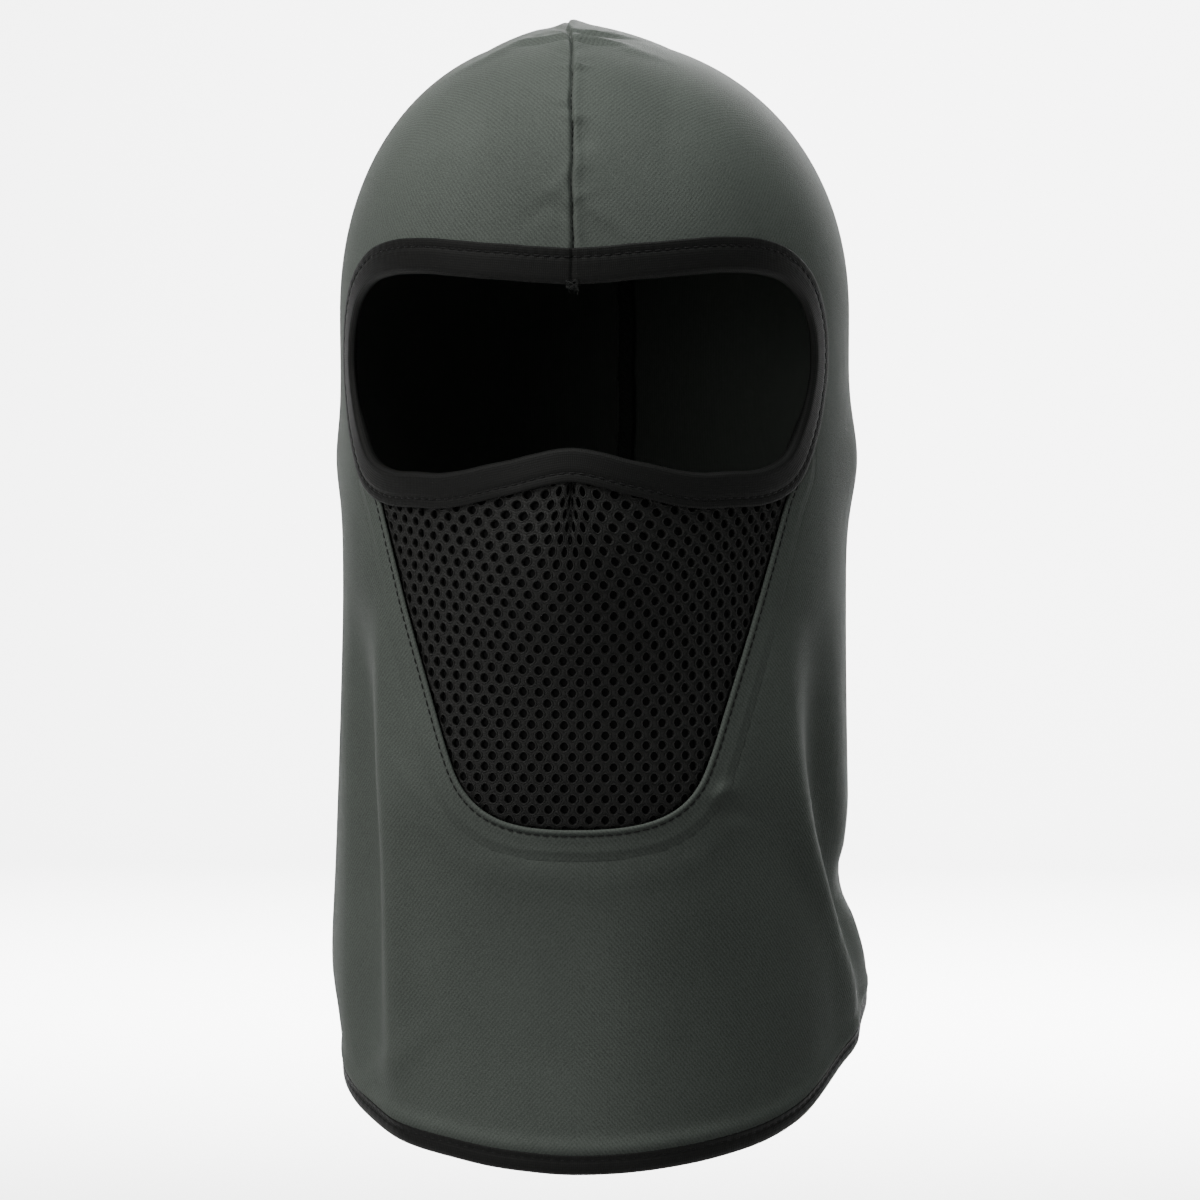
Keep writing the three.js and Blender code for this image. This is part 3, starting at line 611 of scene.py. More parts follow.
def shell_relief(flat, point):
    """How far the knit stands off its smooth shape: it dips into the seam's groove and puffs up beside
    it, has small puckers of seeded places and sizes, puffs up above the hem's tape, and is creased."""
    height, aside = point[:, 2], point[:, 0] - lean(point[:, 2])
    behind = np.abs(flat[:, 0]) > 0.5 * np.pi * PATTERN_RADIUS
    has_seam = behind | (height > SEAM_START * MM)
    travelled = along_seam(behind, height / MM)
    random = np.random.default_rng(7)
    aside = aside / MM + seam_sway(travelled)
    away = np.abs(aside)
    groove = GROOVE_DEPTH * bump(away, 0, GROOVE_HALF_WIDTH)
    edges = PUFF_LIFT * bump(away, PUFF_AWAY, PUFF_HALF_WIDTH)
    puckers = np.zeros(len(flat))
    for at in np.arange(SEAM_START, SEAM_END, PUCKER_PITCH):
        for hand, spread in PUCKER_SPREAD.items():
            place, size = random.normal(at, 1.2), random.normal(0.2, spread)
            run, fade = random.uniform([0.6, 2.5], [1.1, 6])
            pucker = (aside * hand > 0) * size * bump(travelled, place + 0.4 * away, run)
            puckers += pucker * np.exp(-away / fade)
    puckers *= smooth_step(away, 0, 1.0)
    relief = has_seam * (edges - groove + puckers)
    above_hem = (height - hem_height(flat[:, 0] / PATTERN_RADIUS)) / MM
    puffed = HEM_PUFF * bump(above_hem, HEM_TAPE_WIDTH + HEM_PUFF_ABOVE, HEM_PUFF_HALF_WIDTH)
    relief += puffed - HEM_DIP * (above_hem < HEM_TAPE_WIDTH - 0.5)
    for across, at, slant, half_length, half_width, lift in CREASES:
        beside, above = point[:, 0] / MM - across, height / MM - at
        cosine, sine = np.cos(np.radians(slant)), np.sin(np.radians(slant))
        u, v = beside * cosine + above * sine, above * cosine - beside * sine
        relief += ~behind * lift * bump(u, 0, half_length) * bump(v, 0, half_width)
    return relief * MM


# The edge that is turned round the mouth panel and topstitched, as (away from the edge, out) in
# millimetres: a round roll at the panel's edge, the stitched groove, then the seam allowance's low plateau.
TURNED_EDGE = [
    (6, -1.35), (2, -1.3), (0.5, -1.15), (-0.05, -0.75), (-0.12, -0.3), (0.05, 0.02), (0.35, 0.22),
    (0.75, 0.28), (1.1, 0.18), (1.4, -0.08), (1.65, -0.2), (1.95, -0.1), (2.3, 0.04), (3.0, 0.08),
    (4.2, 0.09), (5.1, 0.17), (5.8, 0.26), (6.3, 0.27), (6.9, 0.19), (7.5, 0.08), (8.1, 0.03),
    (8.8, 0.018), (9.2, -0.12), (9.6, -0.5),
]


def sweep(angle, row, section, closed=True):
    """Carries a section along a path on the cloth. Each of its points lies a distance away from the path,
    at right angles along the cloth, and a distance out from the cloth's face. section is (steps or 1,
    count, 2). Returns the points and the angle and row of each one's foot on the cloth."""
    section = np.broadcast_to(section, (len(angle), *np.shape(section)[-2:]))
    start, normal = cloth_point(angle, row), cloth_normal(angle, row)
    onward = np.roll(start, -1, axis=0) - np.roll(start, 1, axis=0)
    if not closed:
        onward[0], onward[-1] = start[1] - start[0], start[-1] - start[-2]
    aside = unit(np.cross(normal, onward))
    moved = start[:, None] + aside[:, None] * section[..., :1]
    spot_angle, spot_row = place_of(moved)
    return on_cloth(spot_angle, spot_row, section[..., 1]), spot_angle, spot_row


def shell_sheet():
    """The main sheet: the worn cloth over a grid that is finest by the seam and round the face. Its rows
    lie closer near the crown's top and by the hem, and evenly in between."""
    half_round = PATTERN_RADIUS * np.pi / MM
    front_steps = [(1.5, 0.25), (3, 0.5), (12, 1.1), (92, 1.8)]
    half = steps_between(front_steps + [(240, 4.4), (257, 1.7), (half_round, 0.5)])
    across = np.concatenate([-half[:0:-1], half[:-1]])
    crown = CROWN_ROW_SHARE * np.concatenate([np.linspace(0, 0.38, 43)[:-1], np.linspace(0.38, 1, 57)[:-1]])
    below = (1 - CROWN_ROW_SHARE) / (WIDEST_HEIGHT - hem_height(0))
    jaw = CROWN_ROW_SHARE + below * steps_between([(158, 1.7)])
    bib = 1 - (1 - jaw[-1]) * np.concatenate([np.linspace(1, 0.13, 24)[1:], np.linspace(0.13, 0, 13)[1:]])
    rows = np.concatenate([crown, jaw, bib])
    cuts = [(widened(OPENING, SHELL_PAST_OPENING), 1), (widened(MOUTH, SHELL_PAST_MOUTH), 1)]
    flat, row, faces = cut_sheet(across, rows, True, cuts)
    angle = flat[:, 0] / PATTERN_RADIUS
    to_panel, _ = distance_to(MOUTH, flat)
    tucked = -TUCK_DEPTH * smooth_step(TUCK_START - to_panel, 0, TUCK_RUN)
    points = on_cloth(angle, row, shell_relief(flat, cloth_point(angle, row)) + tucked)
    points[row == 0] = points[row == 0].mean(axis=0)
    top = faces[0][:, 0] < len(across)
    fan = faces[0][top].copy()
    fan[:, 0] = 0
    return points, flat, [faces[0][~top], np.concatenate([faces[1], fan[:, :3]])]


def outside_opening(outline, least):
    """The stretch of an outline that lies at least this far outside the opening, from right to left."""
    return outline[distance_to(OPENING, outline)[0] > least]


def turned_edge():
    """The turned edge, swept round the mouth panel from the face tape down and up to it again."""
    path = outside_opening(MOUTH, 1.5 * MM)
    angle, row = as_place(path)
    section = np.repeat(np.array(TURNED_EDGE)[None] * MM, len(path), axis=0)
    points, spot_angle, spot_row = sweep(angle, row, section, False)
    flat = np.stack([spot_angle * PATTERN_RADIUS, height_of(spot_angle, spot_row)], axis=-1)
    relief = shell_relief(flat.reshape(-1, 2), points.reshape(-1, 3))
    section[..., 1] += relief.reshape(section.shape[:2])
    points, _, _ = sweep(angle, row, section, False)
    return points.reshape(-1, 3), flat.reshape(-1, 2), grid_faces(len(path), len(TURNED_EDGE), False)


# How fine the yarn's grain and the soft patches are, and the heights where the crown's map takes over.
GRAIN_SCALE, PATCH_SCALE, PATCH_WEIGHT = 2400, 26, 0.45
CROWN_MAP_START, CROWN_MAP_FULL = 80 * MM, 105 * MM


def woven_material(name, tone, contrast, rough, gloss, waves, grain, depth, crown=False):
    """Cloth or yarn whose pattern is a sum of waves and fine noise, which shades it and raises it. waves
    holds (turn in degrees, pitch in millimetres, weight), and grain the noise's weight. Broad soft
    patches vary the tone by up to contrast. With crown, a second map takes over at the top, where the
    first one's lines would run together."""
    material = bpy.data.materials.new(name)
    material.use_nodes = True
    nodes, links = material.node_tree.nodes, material.node_tree.links
    solid = nodes.new("ShaderNodeTexCoord").outputs["Object"]

    def node(kind, wires, **values):
        made = nodes.new(kind)
        for key, value in values.items():
            setattr(made, key, value)
        for socket, value in wires.items():
            if isinstance(value, bpy.types.NodeSocket):
                links.new(value, made.inputs[socket])
            else:
                made.inputs[socket].default_value = value
        return made

    def noise(scale, detail):
        wires = {"Vector": solid, "Scale": scale, "Detail": detail}
        return node("ShaderNodeTexNoise", wires).outputs["Fac"]

    def pattern(uv_map):
        """Mirrored in x, so that a twill leans the other way on the other half."""
        place = node("ShaderNodeUVMap", {}, uv_map=uv_map).outputs["UV"]
        mirrored = node("ShaderNodeVectorMath", {0: place}, operation="ABSOLUTE").outputs["Vector"]
        weighted = {0: noise(GRAIN_SCALE, 2.0), 1: grain}
        total = node("ShaderNodeMath", weighted, operation="MULTIPLY").outputs[0]
        for turn, pitch, weight in waves:
            turned = node("ShaderNodeMapping", {"Vector": mirrored, "Rotation": (0, 0, math.radians(turn))})
            wave = node("ShaderNodeTexWave", {
                "Vector": turned.outputs["Vector"], "Scale": math.pi / (10 * pitch * MM),
                "Distortion": 0.5, "Detail": 1.0, "Detail Scale": 1.5,
            })
            adding = {0: wave.outputs["Fac"], 1: weight, 2: total}
            total = node("ShaderNodeMath", adding, operation="MULTIPLY_ADD").outputs[0]
        return total

    height = pattern("cloth")
    if crown:
        tall = node("ShaderNodeSeparateXYZ", {0: solid}).outputs["Z"]
        span = {"From Min": CROWN_MAP_START, "From Max": CROWN_MAP_FULL}
        share = node("ShaderNodeMapRange", {"Value": tall, **span})
        mixing = {"Factor": share.outputs["Result"], "A": height, "B": pattern("crown")}
        height = node("ShaderNodeMix", mixing).outputs["Result"]
    adding = {0: noise(PATCH_SCALE, 3.0), 1: PATCH_WEIGHT, 2: height}
    patches = node("ShaderNodeMath", adding, operation="MULTIPLY_ADD").outputs[0]
    shade = node("ShaderNodeMapRange", {
        "Value": patches, "From Min": 0.25, "From Max": 1.2, "To Min": 1 - contrast, "To Max": 1 + contrast,
    }).outputs["Result"]
    shaded = {0: (*tone,), "Scale": shade}
    colour = node("ShaderNodeVectorMath", shaded, operation="SCALE").outputs["Vector"]
    raised = node("ShaderNodeBump", {"Height": height, "Strength": 0.5, "Distance": depth * MM})
    shader = nodes["Principled BSDF"]
    links.new(colour, shader.inputs["Base Color"])
    links.new(raised.outputs["Normal"], shader.inputs["Normal"])
    shader.inputs["Roughness"].default_value = rough
    shader.inputs["Specular IOR Level"].default_value = gloss
    return material


def sheet_thickness(piece, thickness, inside_material=0):
    """Gives a surface its thickness towards the inside, closed round its edges."""
    solidify = piece.modifiers.new("thickness", "SOLIDIFY")
    solidify.thickness = thickness
    solidify.offset = -1
    solidify.material_offset = inside_material


def add_crown_map(piece):
    """A second map for the crown: distance across from the seam, and distance up the middle and over."""
    mesh = piece.data
    points = np.empty(len(mesh.vertices) * 3)
    mesh.vertices.foreach_get("co", points)
    x, y, z = points.reshape(-1, 3).T
    turn = np.arctan2(np.maximum(z - WIDEST_HEIGHT, 0), -y)
    up = np.where(z > WIDEST_HEIGHT, PATTERN_RADIUS * turn, z - WIDEST_HEIGHT)
    corner = np.empty(len(mesh.loops), dtype=np.int32)
    mesh.loops.foreach_get("vertex_index", corner)
    layer = mesh.uv_layers.new(name="crown")
    spots = np.stack([(x - lean(z))[corner], up[corner]], axis=1)
    layer.data.foreach_set("uv", spots.ravel().astype(np.float32))


def make_shell():
    main_points, main_flat, (quads, triangles) = shell_sheet()
    edge_points, edge_flat, edge_quads = turned_edge()
    points, flat = np.vstack([main_points, edge_points]), np.vstack([main_flat, edge_flat])
    faces = [quads, triangles, edge_quads + len(main_points)]
    twill = [(40, 0.95, 0.22), (0, 0.45, 0.12)]
    wales = [(0, 0.5, 0.5)]
    outer = woven_material("knit_face", KNIT_TONE, 0.5, 0.7, 0.03, twill, 1.1, 0.22, True)
    reverse = woven_material("knit_reverse", KNIT_TONE, 0.25, 0.85, 0.1, wales, 0.4, 0.1)
    piece = mesh_from("hood_shell", points, faces, flat, outer, 2 * np.pi * PATTERN_RADIUS)
    add_crown_map(piece)
    piece.data.materials.append(reverse)
    sheet_thickness(piece, SHELL_THICKNESS, 1)
    return piece


hood_shell = make_shell()
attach(hood_shell, "root")
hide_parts("shell")

# ---- Mouth panel ----
# Air mesh of black polyester: a warp knit whose yarn bundles part and join round staggered oval holes. A
# dart from the nose shapes it, so the rows rise towards the sides and the holes crowd together beside it.

HOLE_PITCH = 4.1
ROW_PITCH = 3.0
HOLE_HALF_WIDTH, HOLE_HALF_HEIGHT = 0.95, 1.25
MESH_LEVEL = -0.75
DART_LOW, DART_TOP = -19.0, 9.0
ROW_RISE, ROW_RISE_START, ROW_RISE_LOW, ROW_RISE_HIGH = 0.17, 6, -95, -15
NOSE_RISE, NOSE_RISE_FROM, NOSE_RISE_WIDTH = 0.22, 26, 11
DART_SQUEEZE, DART_PULL, DART_REACH = 0.93, 9, 32
MESH_PAST_MOUTH, MESH_PAST_OPENING = 4.5 * MM, 2 * MM
MESH_TONE = (0.0046, 0.0047, 0.0044)
EDGE_SINK, TAPE_SWELL = 0.9, 0.35
DART_GROOVE, DART_PUFF = 1.0, 0.5
CELL_CORNERS = 12
CELLS_PER_METRE = 2e5

# The yarns' height over one cell, from inside the hole to its edge: (share of the way, millimetres out).
YARN_RINGS = [
    (0.0, -1.3), (0.05, -0.4), (0.2, -0.02), (0.42, -0.08), (0.57, -0.48), (0.73, -0.02), (1.0, -0.44),
]


def mesh_warp(spot):
    """Where a point of the even lattice lies on the pattern: rows rise away from the middle in the upper
    half, and columns draw together beside the dart."""
    across, height = spot[..., 0] / MM, spot[..., 1] / MM
    start = ROW_RISE_START
    slope = ROW_RISE * smooth_step(height, ROW_RISE_LOW, ROW_RISE_HIGH)
    rise = slope * (np.sqrt(across**2 + start * start) - start)
    rise += NOSE_RISE * np.maximum(height + NOSE_RISE_FROM, 0) * np.exp(-((across / NOSE_RISE_WIDTH) ** 2))
    squeeze = DART_SQUEEZE * smooth_step(height, -35, -3)
    pull = squeeze * DART_PULL * np.tanh(across / DART_PULL) * np.exp(-((across / DART_REACH) ** 2))
    return np.stack([across - pull, height + rise], axis=-1) * MM


def mesh_lattice():
    """Six-sided cells round staggered oval holes. Each is a stack of rings of CELL_CORNERS points, from
    inside the hole up over the yarns' round backs to the cell's edge, where neighbours share the points
    that round to one of CELLS_PER_METRE. Returns each point's even place, how far out it is and how far
    from its hole, and the faces."""
    columns, lines = np.meshgrid(np.arange(-18, 19), np.arange(-37, 8))
    across, up = (columns + 0.5 * (lines % 2)) * HOLE_PITCH, lines * ROW_PITCH
    centre = np.stack([across, up], axis=-1).reshape(-1, 2) * MM
    flat = mesh_warp(centre)
    in_panel = distance_to(MOUTH, flat)[0] < MESH_PAST_MOUTH
    keep = in_panel & (distance_to(OPENING, flat)[0] > MESH_PAST_OPENING)
    centre = centre[keep]
    half, low, high = HOLE_PITCH / 2, 0.195 * ROW_PITCH, 0.805 * ROW_PITCH
    slope = (half / 2, ROW_PITCH / 2)
    upper = [(half, 0), (half, low), slope, (0, high), (-slope[0], slope[1]), (-half, low)]
    corners = np.array(upper + [(-x, -y) for x, y in upper]) * MM
    turn = np.arctan2(corners[:, 1], corners[:, 0])
    hole = np.stack([HOLE_HALF_WIDTH * np.cos(turn), HOLE_HALF_HEIGHT * np.sin(turn)], axis=1) * MM
    share = np.array([s for s, _ in YARN_RINGS])[:, None, None]
    ring = hole + (corners - hole) * share
    spots = centre[:, None, None] + ring[None]
    out = np.broadcast_to(np.array([o for _, o in YARN_RINGS])[:, None] * MM, spots.shape[:-1])
    gap = np.broadcast_to(np.linalg.norm(ring - hole, axis=-1), spots.shape[:-1])
    face = grid_faces(len(YARN_RINGS), CELL_CORNERS, True)
    shift = CELL_CORNERS * len(YARN_RINGS) * np.arange(len(centre))
    faces = face[None] + shift[:, None, None]
    spots, out, gap = spots.reshape(-1, 2), out.ravel(), gap.ravel()
    key = np.round(np.column_stack([spots, out]) * CELLS_PER_METRE).astype(np.int64)
    _, first, same = np.unique(key, axis=0, return_index=True, return_inverse=True)
    return spots[first], out[first], gap[first], same.ravel()[faces.reshape(-1, 4)]


def make_mouth_mesh():
    spots, out, gap, faces = mesh_lattice()
    flat = mesh_warp(spots)
    to_edge, _ = distance_to(MOUTH, flat)
    to_tape, _ = distance_to(OPENING, flat)
    sink = TAPE_SWELL * bump(to_tape / MM, 9, 3) - EDGE_SINK * smooth_step(to_edge / MM, -1.6, 0.8)
    dart = smooth_step(flat[:, 1] / MM, DART_LOW - 3, DART_LOW + 5)
    across = flat[:, 0] / MM
    seam = dart * (DART_PUFF * bump(np.abs(across), 2.1, 1.2) - DART_GROOVE * bump(across, 0, 0.6))
    angle, row = as_place(flat)
    points = on_cloth(angle, row, out + (MESH_LEVEL + sink + seam) * MM)
    around = np.stack([gap, spots[:, 0] * 0.5 + spots[:, 1]], axis=1)
    yarns = [(0, 0.66, 0.5), (90, 0.9, 0.25)]
    material = woven_material("mesh_yarn", MESH_TONE, 0.9, 0.5, 0.1, yarns, 1.2, 0.6)
    return mesh_from("mouth_mesh_panel", points, [faces], around, material)


mouth_mesh = make_mouth_mesh()
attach(mouth_mesh, "root")
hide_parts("mouth_mesh")

# ---- Mouth backing ----
# A thin black tricot behind the air mesh, caught in the same seams as the mesh and cut to the same pattern.
# It is what shows dark through the holes.

BACKING_LEVEL = -2.5
BACKING_THICKNESS = 0.35 * MM
BACKING_HALF_WIDTH, BACKING_TOP, BACKING_BOTTOM = 76, 22, -112
BACKING_PAST_MOUTH, BACKING_PAST_OPENING = 5 * MM, 2.5 * MM
BACKING_TONE = (0.009, 0.009, 0.009)


def make_backing():
    across = steps_between([(BACKING_HALF_WIDTH, 1.6)])
    across = np.concatenate([-across[:0:-1], across])
    rows = row_of(0.0, np.linspace(BACKING_TOP, BACKING_BOTTOM, 84) * MM)
    cuts = [(widened(OPENING, BACKING_PAST_OPENING), 1), (widened(MOUTH, BACKING_PAST_MOUTH), -1)]
    flat, row, faces = cut_sheet(across, rows, False, cuts)
    to_edge, _ = distance_to(MOUTH, flat)
    level = BACKING_LEVEL + 0.25 * smooth_step(to_edge / MM, -2, 2)
    points = on_cloth(flat[:, 0] / PATTERN_RADIUS, row, level * MM)
    wales = [(0, 0.5, 0.5)]
    material = woven_material("backing_knit", BACKING_TONE, 0.3, 0.85, 0.03, wales, 0.4, 0.1)
    piece = mesh_from("mouth_backing_layer", points, faces, flat, material)
    sheet_thickness(piece, BACKING_THICKNESS)
    return piece


mouth_backing = make_backing()
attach(mouth_backing, "root")
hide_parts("mouth_backing")

# ---- Face tape ----
# Black folded elastic tape wrapped over the opening's raw edge, so that it lies outside and inside. Its
# stitches draw it down in a shallow channel, and the crown seam presses a crease across it in front.

FACE_TAPE_WIDTH = 8.4
TAPE_FOLD = 1.8
STITCH_INSET = 2.5
HEM_STITCH_INSET = 1.6
TAPE_DEPTH, DEPTH_OVER_PANEL = 0.6, 0.5
SEAM_CREASE, CREASE_HALF_WIDTH = 0.55, 0.45
CHANNEL_RIPPLE, RIPPLE_PITCH, CHANNEL_HALF_WIDTH = 0.06, 3.0, 1.4
TAPE_TONE = (0.0034, 0.0035, 0.0033)


def tape_section(width, line):
    """One closed loop of (away, out) in millimetres: the outer leg's face from its edge to the fold, the
    fold, the inner leg, and back through the middle. line is where its stitches draw it down."""
    edge = [(width, -0.15), (width + 0.08, 0.15), (width - 0.05, 0.42), (width - 0.3, 0.58)]
    channel = [(line + 0.8, 0.62), (line + 0.4, 0.54), (line, 0.4), (line - 0.4, 0.54), (line - 0.8, 0.68)]
    face = edge + [(width - 0.7, 0.65)] + channel
    middle_leg = [(x, 0.78) for x in np.linspace(line - 1.3, 0.2, max(2, round(line / 1.3)))]
    fold = [
        (-0.4, 0.72), (-1.1, 0.4), (-1.6, -0.2), (-TAPE_FOLD, -1.0), (-1.6, -1.8), (-1.1, -2.4),
        (-0.4, -2.75),
    ]
    inner = [
        (0.4, -2.85), (line - 1.0, -2.85), (line - 0.4, -2.8), (line, -2.65), (line + 0.4, -2.8),
        (line + 1.4, -2.8), (line + 1.7, -2.5), (line + 1.4, -2.2), (0.8, -2.1), (0.2, -1.8),
        (-0.2, -1.0), (0.2, -0.3), (1.0, -0.1),
    ]
    return np.array(face + middle_leg + fold + inner)


def tube_faces(steps, sides, closed):
    """Faces of a section's loop carried along steps: joined end to end if closed, or else capped."""
    i = np.arange(steps if closed else steps - 1)[:, None]
    j = np.arange(sides)[None]
    here, onward = i * sides, (i + 1) % steps * sides
    beside = (j + 1) % sides
    walls = np.stack([here + j, onward + j, onward + beside, here + beside], axis=-1).reshape(-1, 4)
    if closed:
        return [walls]
    first = np.arange(sides)
    return [walls, np.stack([first, first[::-1] + (steps - 1) * sides])]


def make_tape(name, path, width, inset, depth, crease_depth):
    """A tape swept round a closed edge. inset is how far its stitches lie from its edge, depth scales the
    inner leg's distance at each step, and crease_depth is how far the crown seam presses it in. Seven
    seeded waves make its edges wander by a few hundredths of a millimetre."""
    angle, row = path
    line = width - inset
    section = tape_section(width, line)
    travelled, length = path_length(cloth_point(angle, row), True)
    along, whole = travelled[:, None] / MM, length / MM
    away, out = np.broadcast_arrays(section[:, 0], section[:, 1] + 0 * along)
    away, out = away.copy(), np.where(out < 0, out * depth[:, None], out)
    ripple = CHANNEL_RIPPLE * bump(away, line, CHANNEL_HALF_WIDTH) * np.cos(2 * np.pi * along / RIPPLE_PITCH)
    out -= ripple * (out > 0)
    random = np.random.default_rng(len(name))
    for pitch, start, sway in random.uniform([12, 0, 0.01], [60, 6.28, 0.035], (7, 3)):
        away += sway * np.sin(2 * np.pi * along / whole * np.round(whole / pitch) + start)
    crease = bump(np.minimum(along, whole - along), 0, CREASE_HALF_WIDTH)
    out -= crease_depth * crease * (out > 0)
    points, _, _ = sweep(angle, row, np.stack([away, out], axis=-1) * MM)
    around, _ = path_length(section, False)
    flat = np.stack(np.broadcast_arrays(travelled[:, None], around * MM), axis=-1)
    faces = tube_faces(len(angle), len(section), True)
    return mesh_from(name, points.reshape(-1, 3), faces, flat.reshape(-1, 2), tape_knit, length)


tape_ribs = [(90, 0.7, 0.3), (0, 0.6, 0.35)]
tape_knit = woven_material("tape_knit", TAPE_TONE, 0.5, 0.6, 0.06, tape_ribs, 0.3, 0.25)
face_path = as_place(OPENING)
near_mouth = smooth_step(-OPENING[:, 1] / MM, -26, -12)
face_depth = TAPE_DEPTH + DEPTH_OVER_PANEL * near_mouth
face_tape = make_tape("face_tape", face_path, FACE_TAPE_WIDTH, STITCH_INSET, face_depth, SEAM_CREASE)
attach(face_tape, "root")
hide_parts("face_binding")

# ---- Hem tape ----
# The same tape, narrower, folded over the neck's raw edge with its own row of stitches. It was stretched
# as it was sewn, so it draws the hem in a little.

HEM_STEPS = 760
hem_path = (np.linspace(-np.pi, np.pi, HEM_STEPS, endpoint=False), np.ones(HEM_STEPS))
hem_depth = np.full(HEM_STEPS, TAPE_DEPTH)
hem_tape = make_tape("hem_tape", hem_path, HEM_TAPE_WIDTH, HEM_STITCH_INSET, hem_depth, 0)
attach(hem_tape, "root")
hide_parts("hem_binding")

# ---- Stitches ----
# Lockstitch and coverstitch in twisted polyester thread. Outside each stitch is a short bead that dives
# into the cloth at both ends. Inside, loopers zigzag along the same line.

THREAD_SIDES = 6
DART_STEPS = 24
SEAM_STEPS_FRONT, SEAM_STEPS_BEHIND = 120, 300
SEAM_TOP_ROW, SEAM_END_ROW = 0.004, 0.98
SEAM_ABOVE_OPENING = 3.0
SEAM_SLOPE, SEAM_ROUND = 0.11, 150


def threads(name, start, end, normal, radius, material, dive=1.2):
    """Short threads from start to end points: a tube of rings, arched along the normal and tapered at its
    ends, for each. dive is how far the ends sink, in radii."""
    share = np.array([0.0, 0.12, 0.35, 0.65, 0.88, 1.0])
    rise = np.array([-dive, 0.1, 0.75, 0.75, 0.1, -dive]) * radius
    girth = np.array([0.45, 0.95, 1.0, 1.0, 0.95, 0.45]) * radius
    onward = end - start
    beside = unit(np.cross(normal, onward))
    upward = unit(np.cross(onward, beside))
    middle_line = start[:, None] + onward[:, None] * share[:, None] + upward[:, None] * rise[:, None]
    turn = np.linspace(0, 2 * np.pi, THREAD_SIDES, endpoint=False)
    spokes = beside[:, None] * np.cos(turn)[:, None] + upward[:, None] * np.sin(turn)[:, None]
    points = middle_line[:, :, None] + spokes[:, None] * girth[:, None, None]
    parts = tube_faces(len(share), THREAD_SIDES, False)
    shift = len(share) * THREAD_SIDES * np.arange(len(start))[:, None, None]
    faces = [(part[None] + shift).reshape(-1, part.shape[1]) for part in parts]
    run = np.linalg.norm(onward, axis=1)[:, None, None] * share[:, None]
    flat = np.stack(np.broadcast_arrays(run, radius * turn), axis=-1)
    flat = np.broadcast_to(flat, (*points.shape[:3], 2)).reshape(-1, 2)
    return mesh_from(name, points.reshape(-1, 3), faces, flat, material)


def even_marks(points, normals, pitch, closed):
    """Points at an even pitch along a path, with the cloth's normal at each."""
    if closed:
        points, normals = np.vstack([points, points[:1]]), np.vstack([normals, normals[:1]])
    travelled, length = path_length(points, False)
    count = max(2, round(length / (pitch * MM)))
    at = np.linspace(0, length, count + 1)
    mark = np.stack([np.interp(at, travelled, points[:, k]) for k in range(3)], axis=1)
    direction = np.stack([np.interp(at, travelled, normals[:, k]) for k in range(3)], axis=1)
    return mark, unit(direction)


def line_beside(angle, row, away, out, closed=True):
    """A line that runs beside a path on the cloth, and the cloth's normal along it."""
    points, spot_angle, spot_row = sweep(angle, row, np.array([[[away, out]]]) * MM, closed)
    return points[:, 0], cloth_normal(spot_angle[:, 0], spot_row[:, 0])


def running_stitches(name, line, pitch, radius, material, closed=True, gap=0.22):
    """A row of stitches with a gap between each two."""
    mark, normal = even_marks(*line, pitch, closed)
    start, end = mark[:-1], mark[1:]
    reach = end - start
    return threads(name, start + reach * gap / 2, end - reach * gap / 2, normal[:-1], radius * MM, material)


def zigzag(name, line, pitch, half_width, radius, material):
    """A looper thread that crosses from side to side at each stitch, on the inside of a closed line."""
    mark, normal = even_marks(*line, pitch / 2, True)
    onward = np.gradient(mark, axis=0)
    aside = unit(np.cross(normal, onward))
    side = np.where(np.arange(len(mark)) % 2 == 0, 1, -1)[:, None]
    mark = mark + aside * side * half_width * MM
    return threads(name, mark[:-1], mark[1:], -normal[:-1], radius * MM, material, 0.2)


twist = [(35, 0.4, 0.5)]
black_thread = woven_material("black_thread_twist", (0.003, 0.003, 0.003), 0.3, 0.5, 0.08, twist, 0.2, 0.1)
grey_thread = woven_material("grey_thread_twist", (0.007, 0.0075, 0.007), 0.3, 0.6, 0.08, twist, 0.2, 0.1)

mouth_path = as_place(outside_opening(MOUTH, 1.5 * MM))
face_line = FACE_TAPE_WIDTH - STITCH_INSET
hem_line = HEM_TAPE_WIDTH - HEM_STITCH_INSET
dart_height = np.linspace(DART_TOP, DART_LOW, DART_STEPS) * MM
dart_path = (np.zeros(DART_STEPS), row_of(0.0, dart_height))


def seam_path():
    """The centre seam over the crown and down the back: rows at angle 0, then at half a turn."""
    forehead = row_of(0.0, OPENING[0, 1] + SEAM_ABOVE_OPENING * MM)
    front = np.linspace(forehead, SEAM_TOP_ROW, SEAM_STEPS_FRONT)
    behind = np.linspace(SEAM_TOP_ROW, SEAM_END_ROW, SEAM_STEPS_BEHIND)
    angle = np.repeat([0, np.pi], [SEAM_STEPS_FRONT, SEAM_STEPS_BEHIND])
    return angle, np.concatenate([front, behind])


def seam_line(aside, out):
    """A line beside the centre seam, which drops as the cloth falls away from the seam's low ridge."""
    angle, row = seam_path()
    point = cloth_point(angle, row)
    normal = cloth_normal(angle, row)
    normal[:, 0] *= 0.0
    normal = unit(normal)
    drop = out - SEAM_SLOPE * abs(aside) - aside * aside / SEAM_ROUND
    moved = aside - seam_sway(along_seam(angle > 0, point[:, 2] / MM))
    return point + np.outer(moved * MM, (1, 0, 0)) + normal * drop * MM, normal


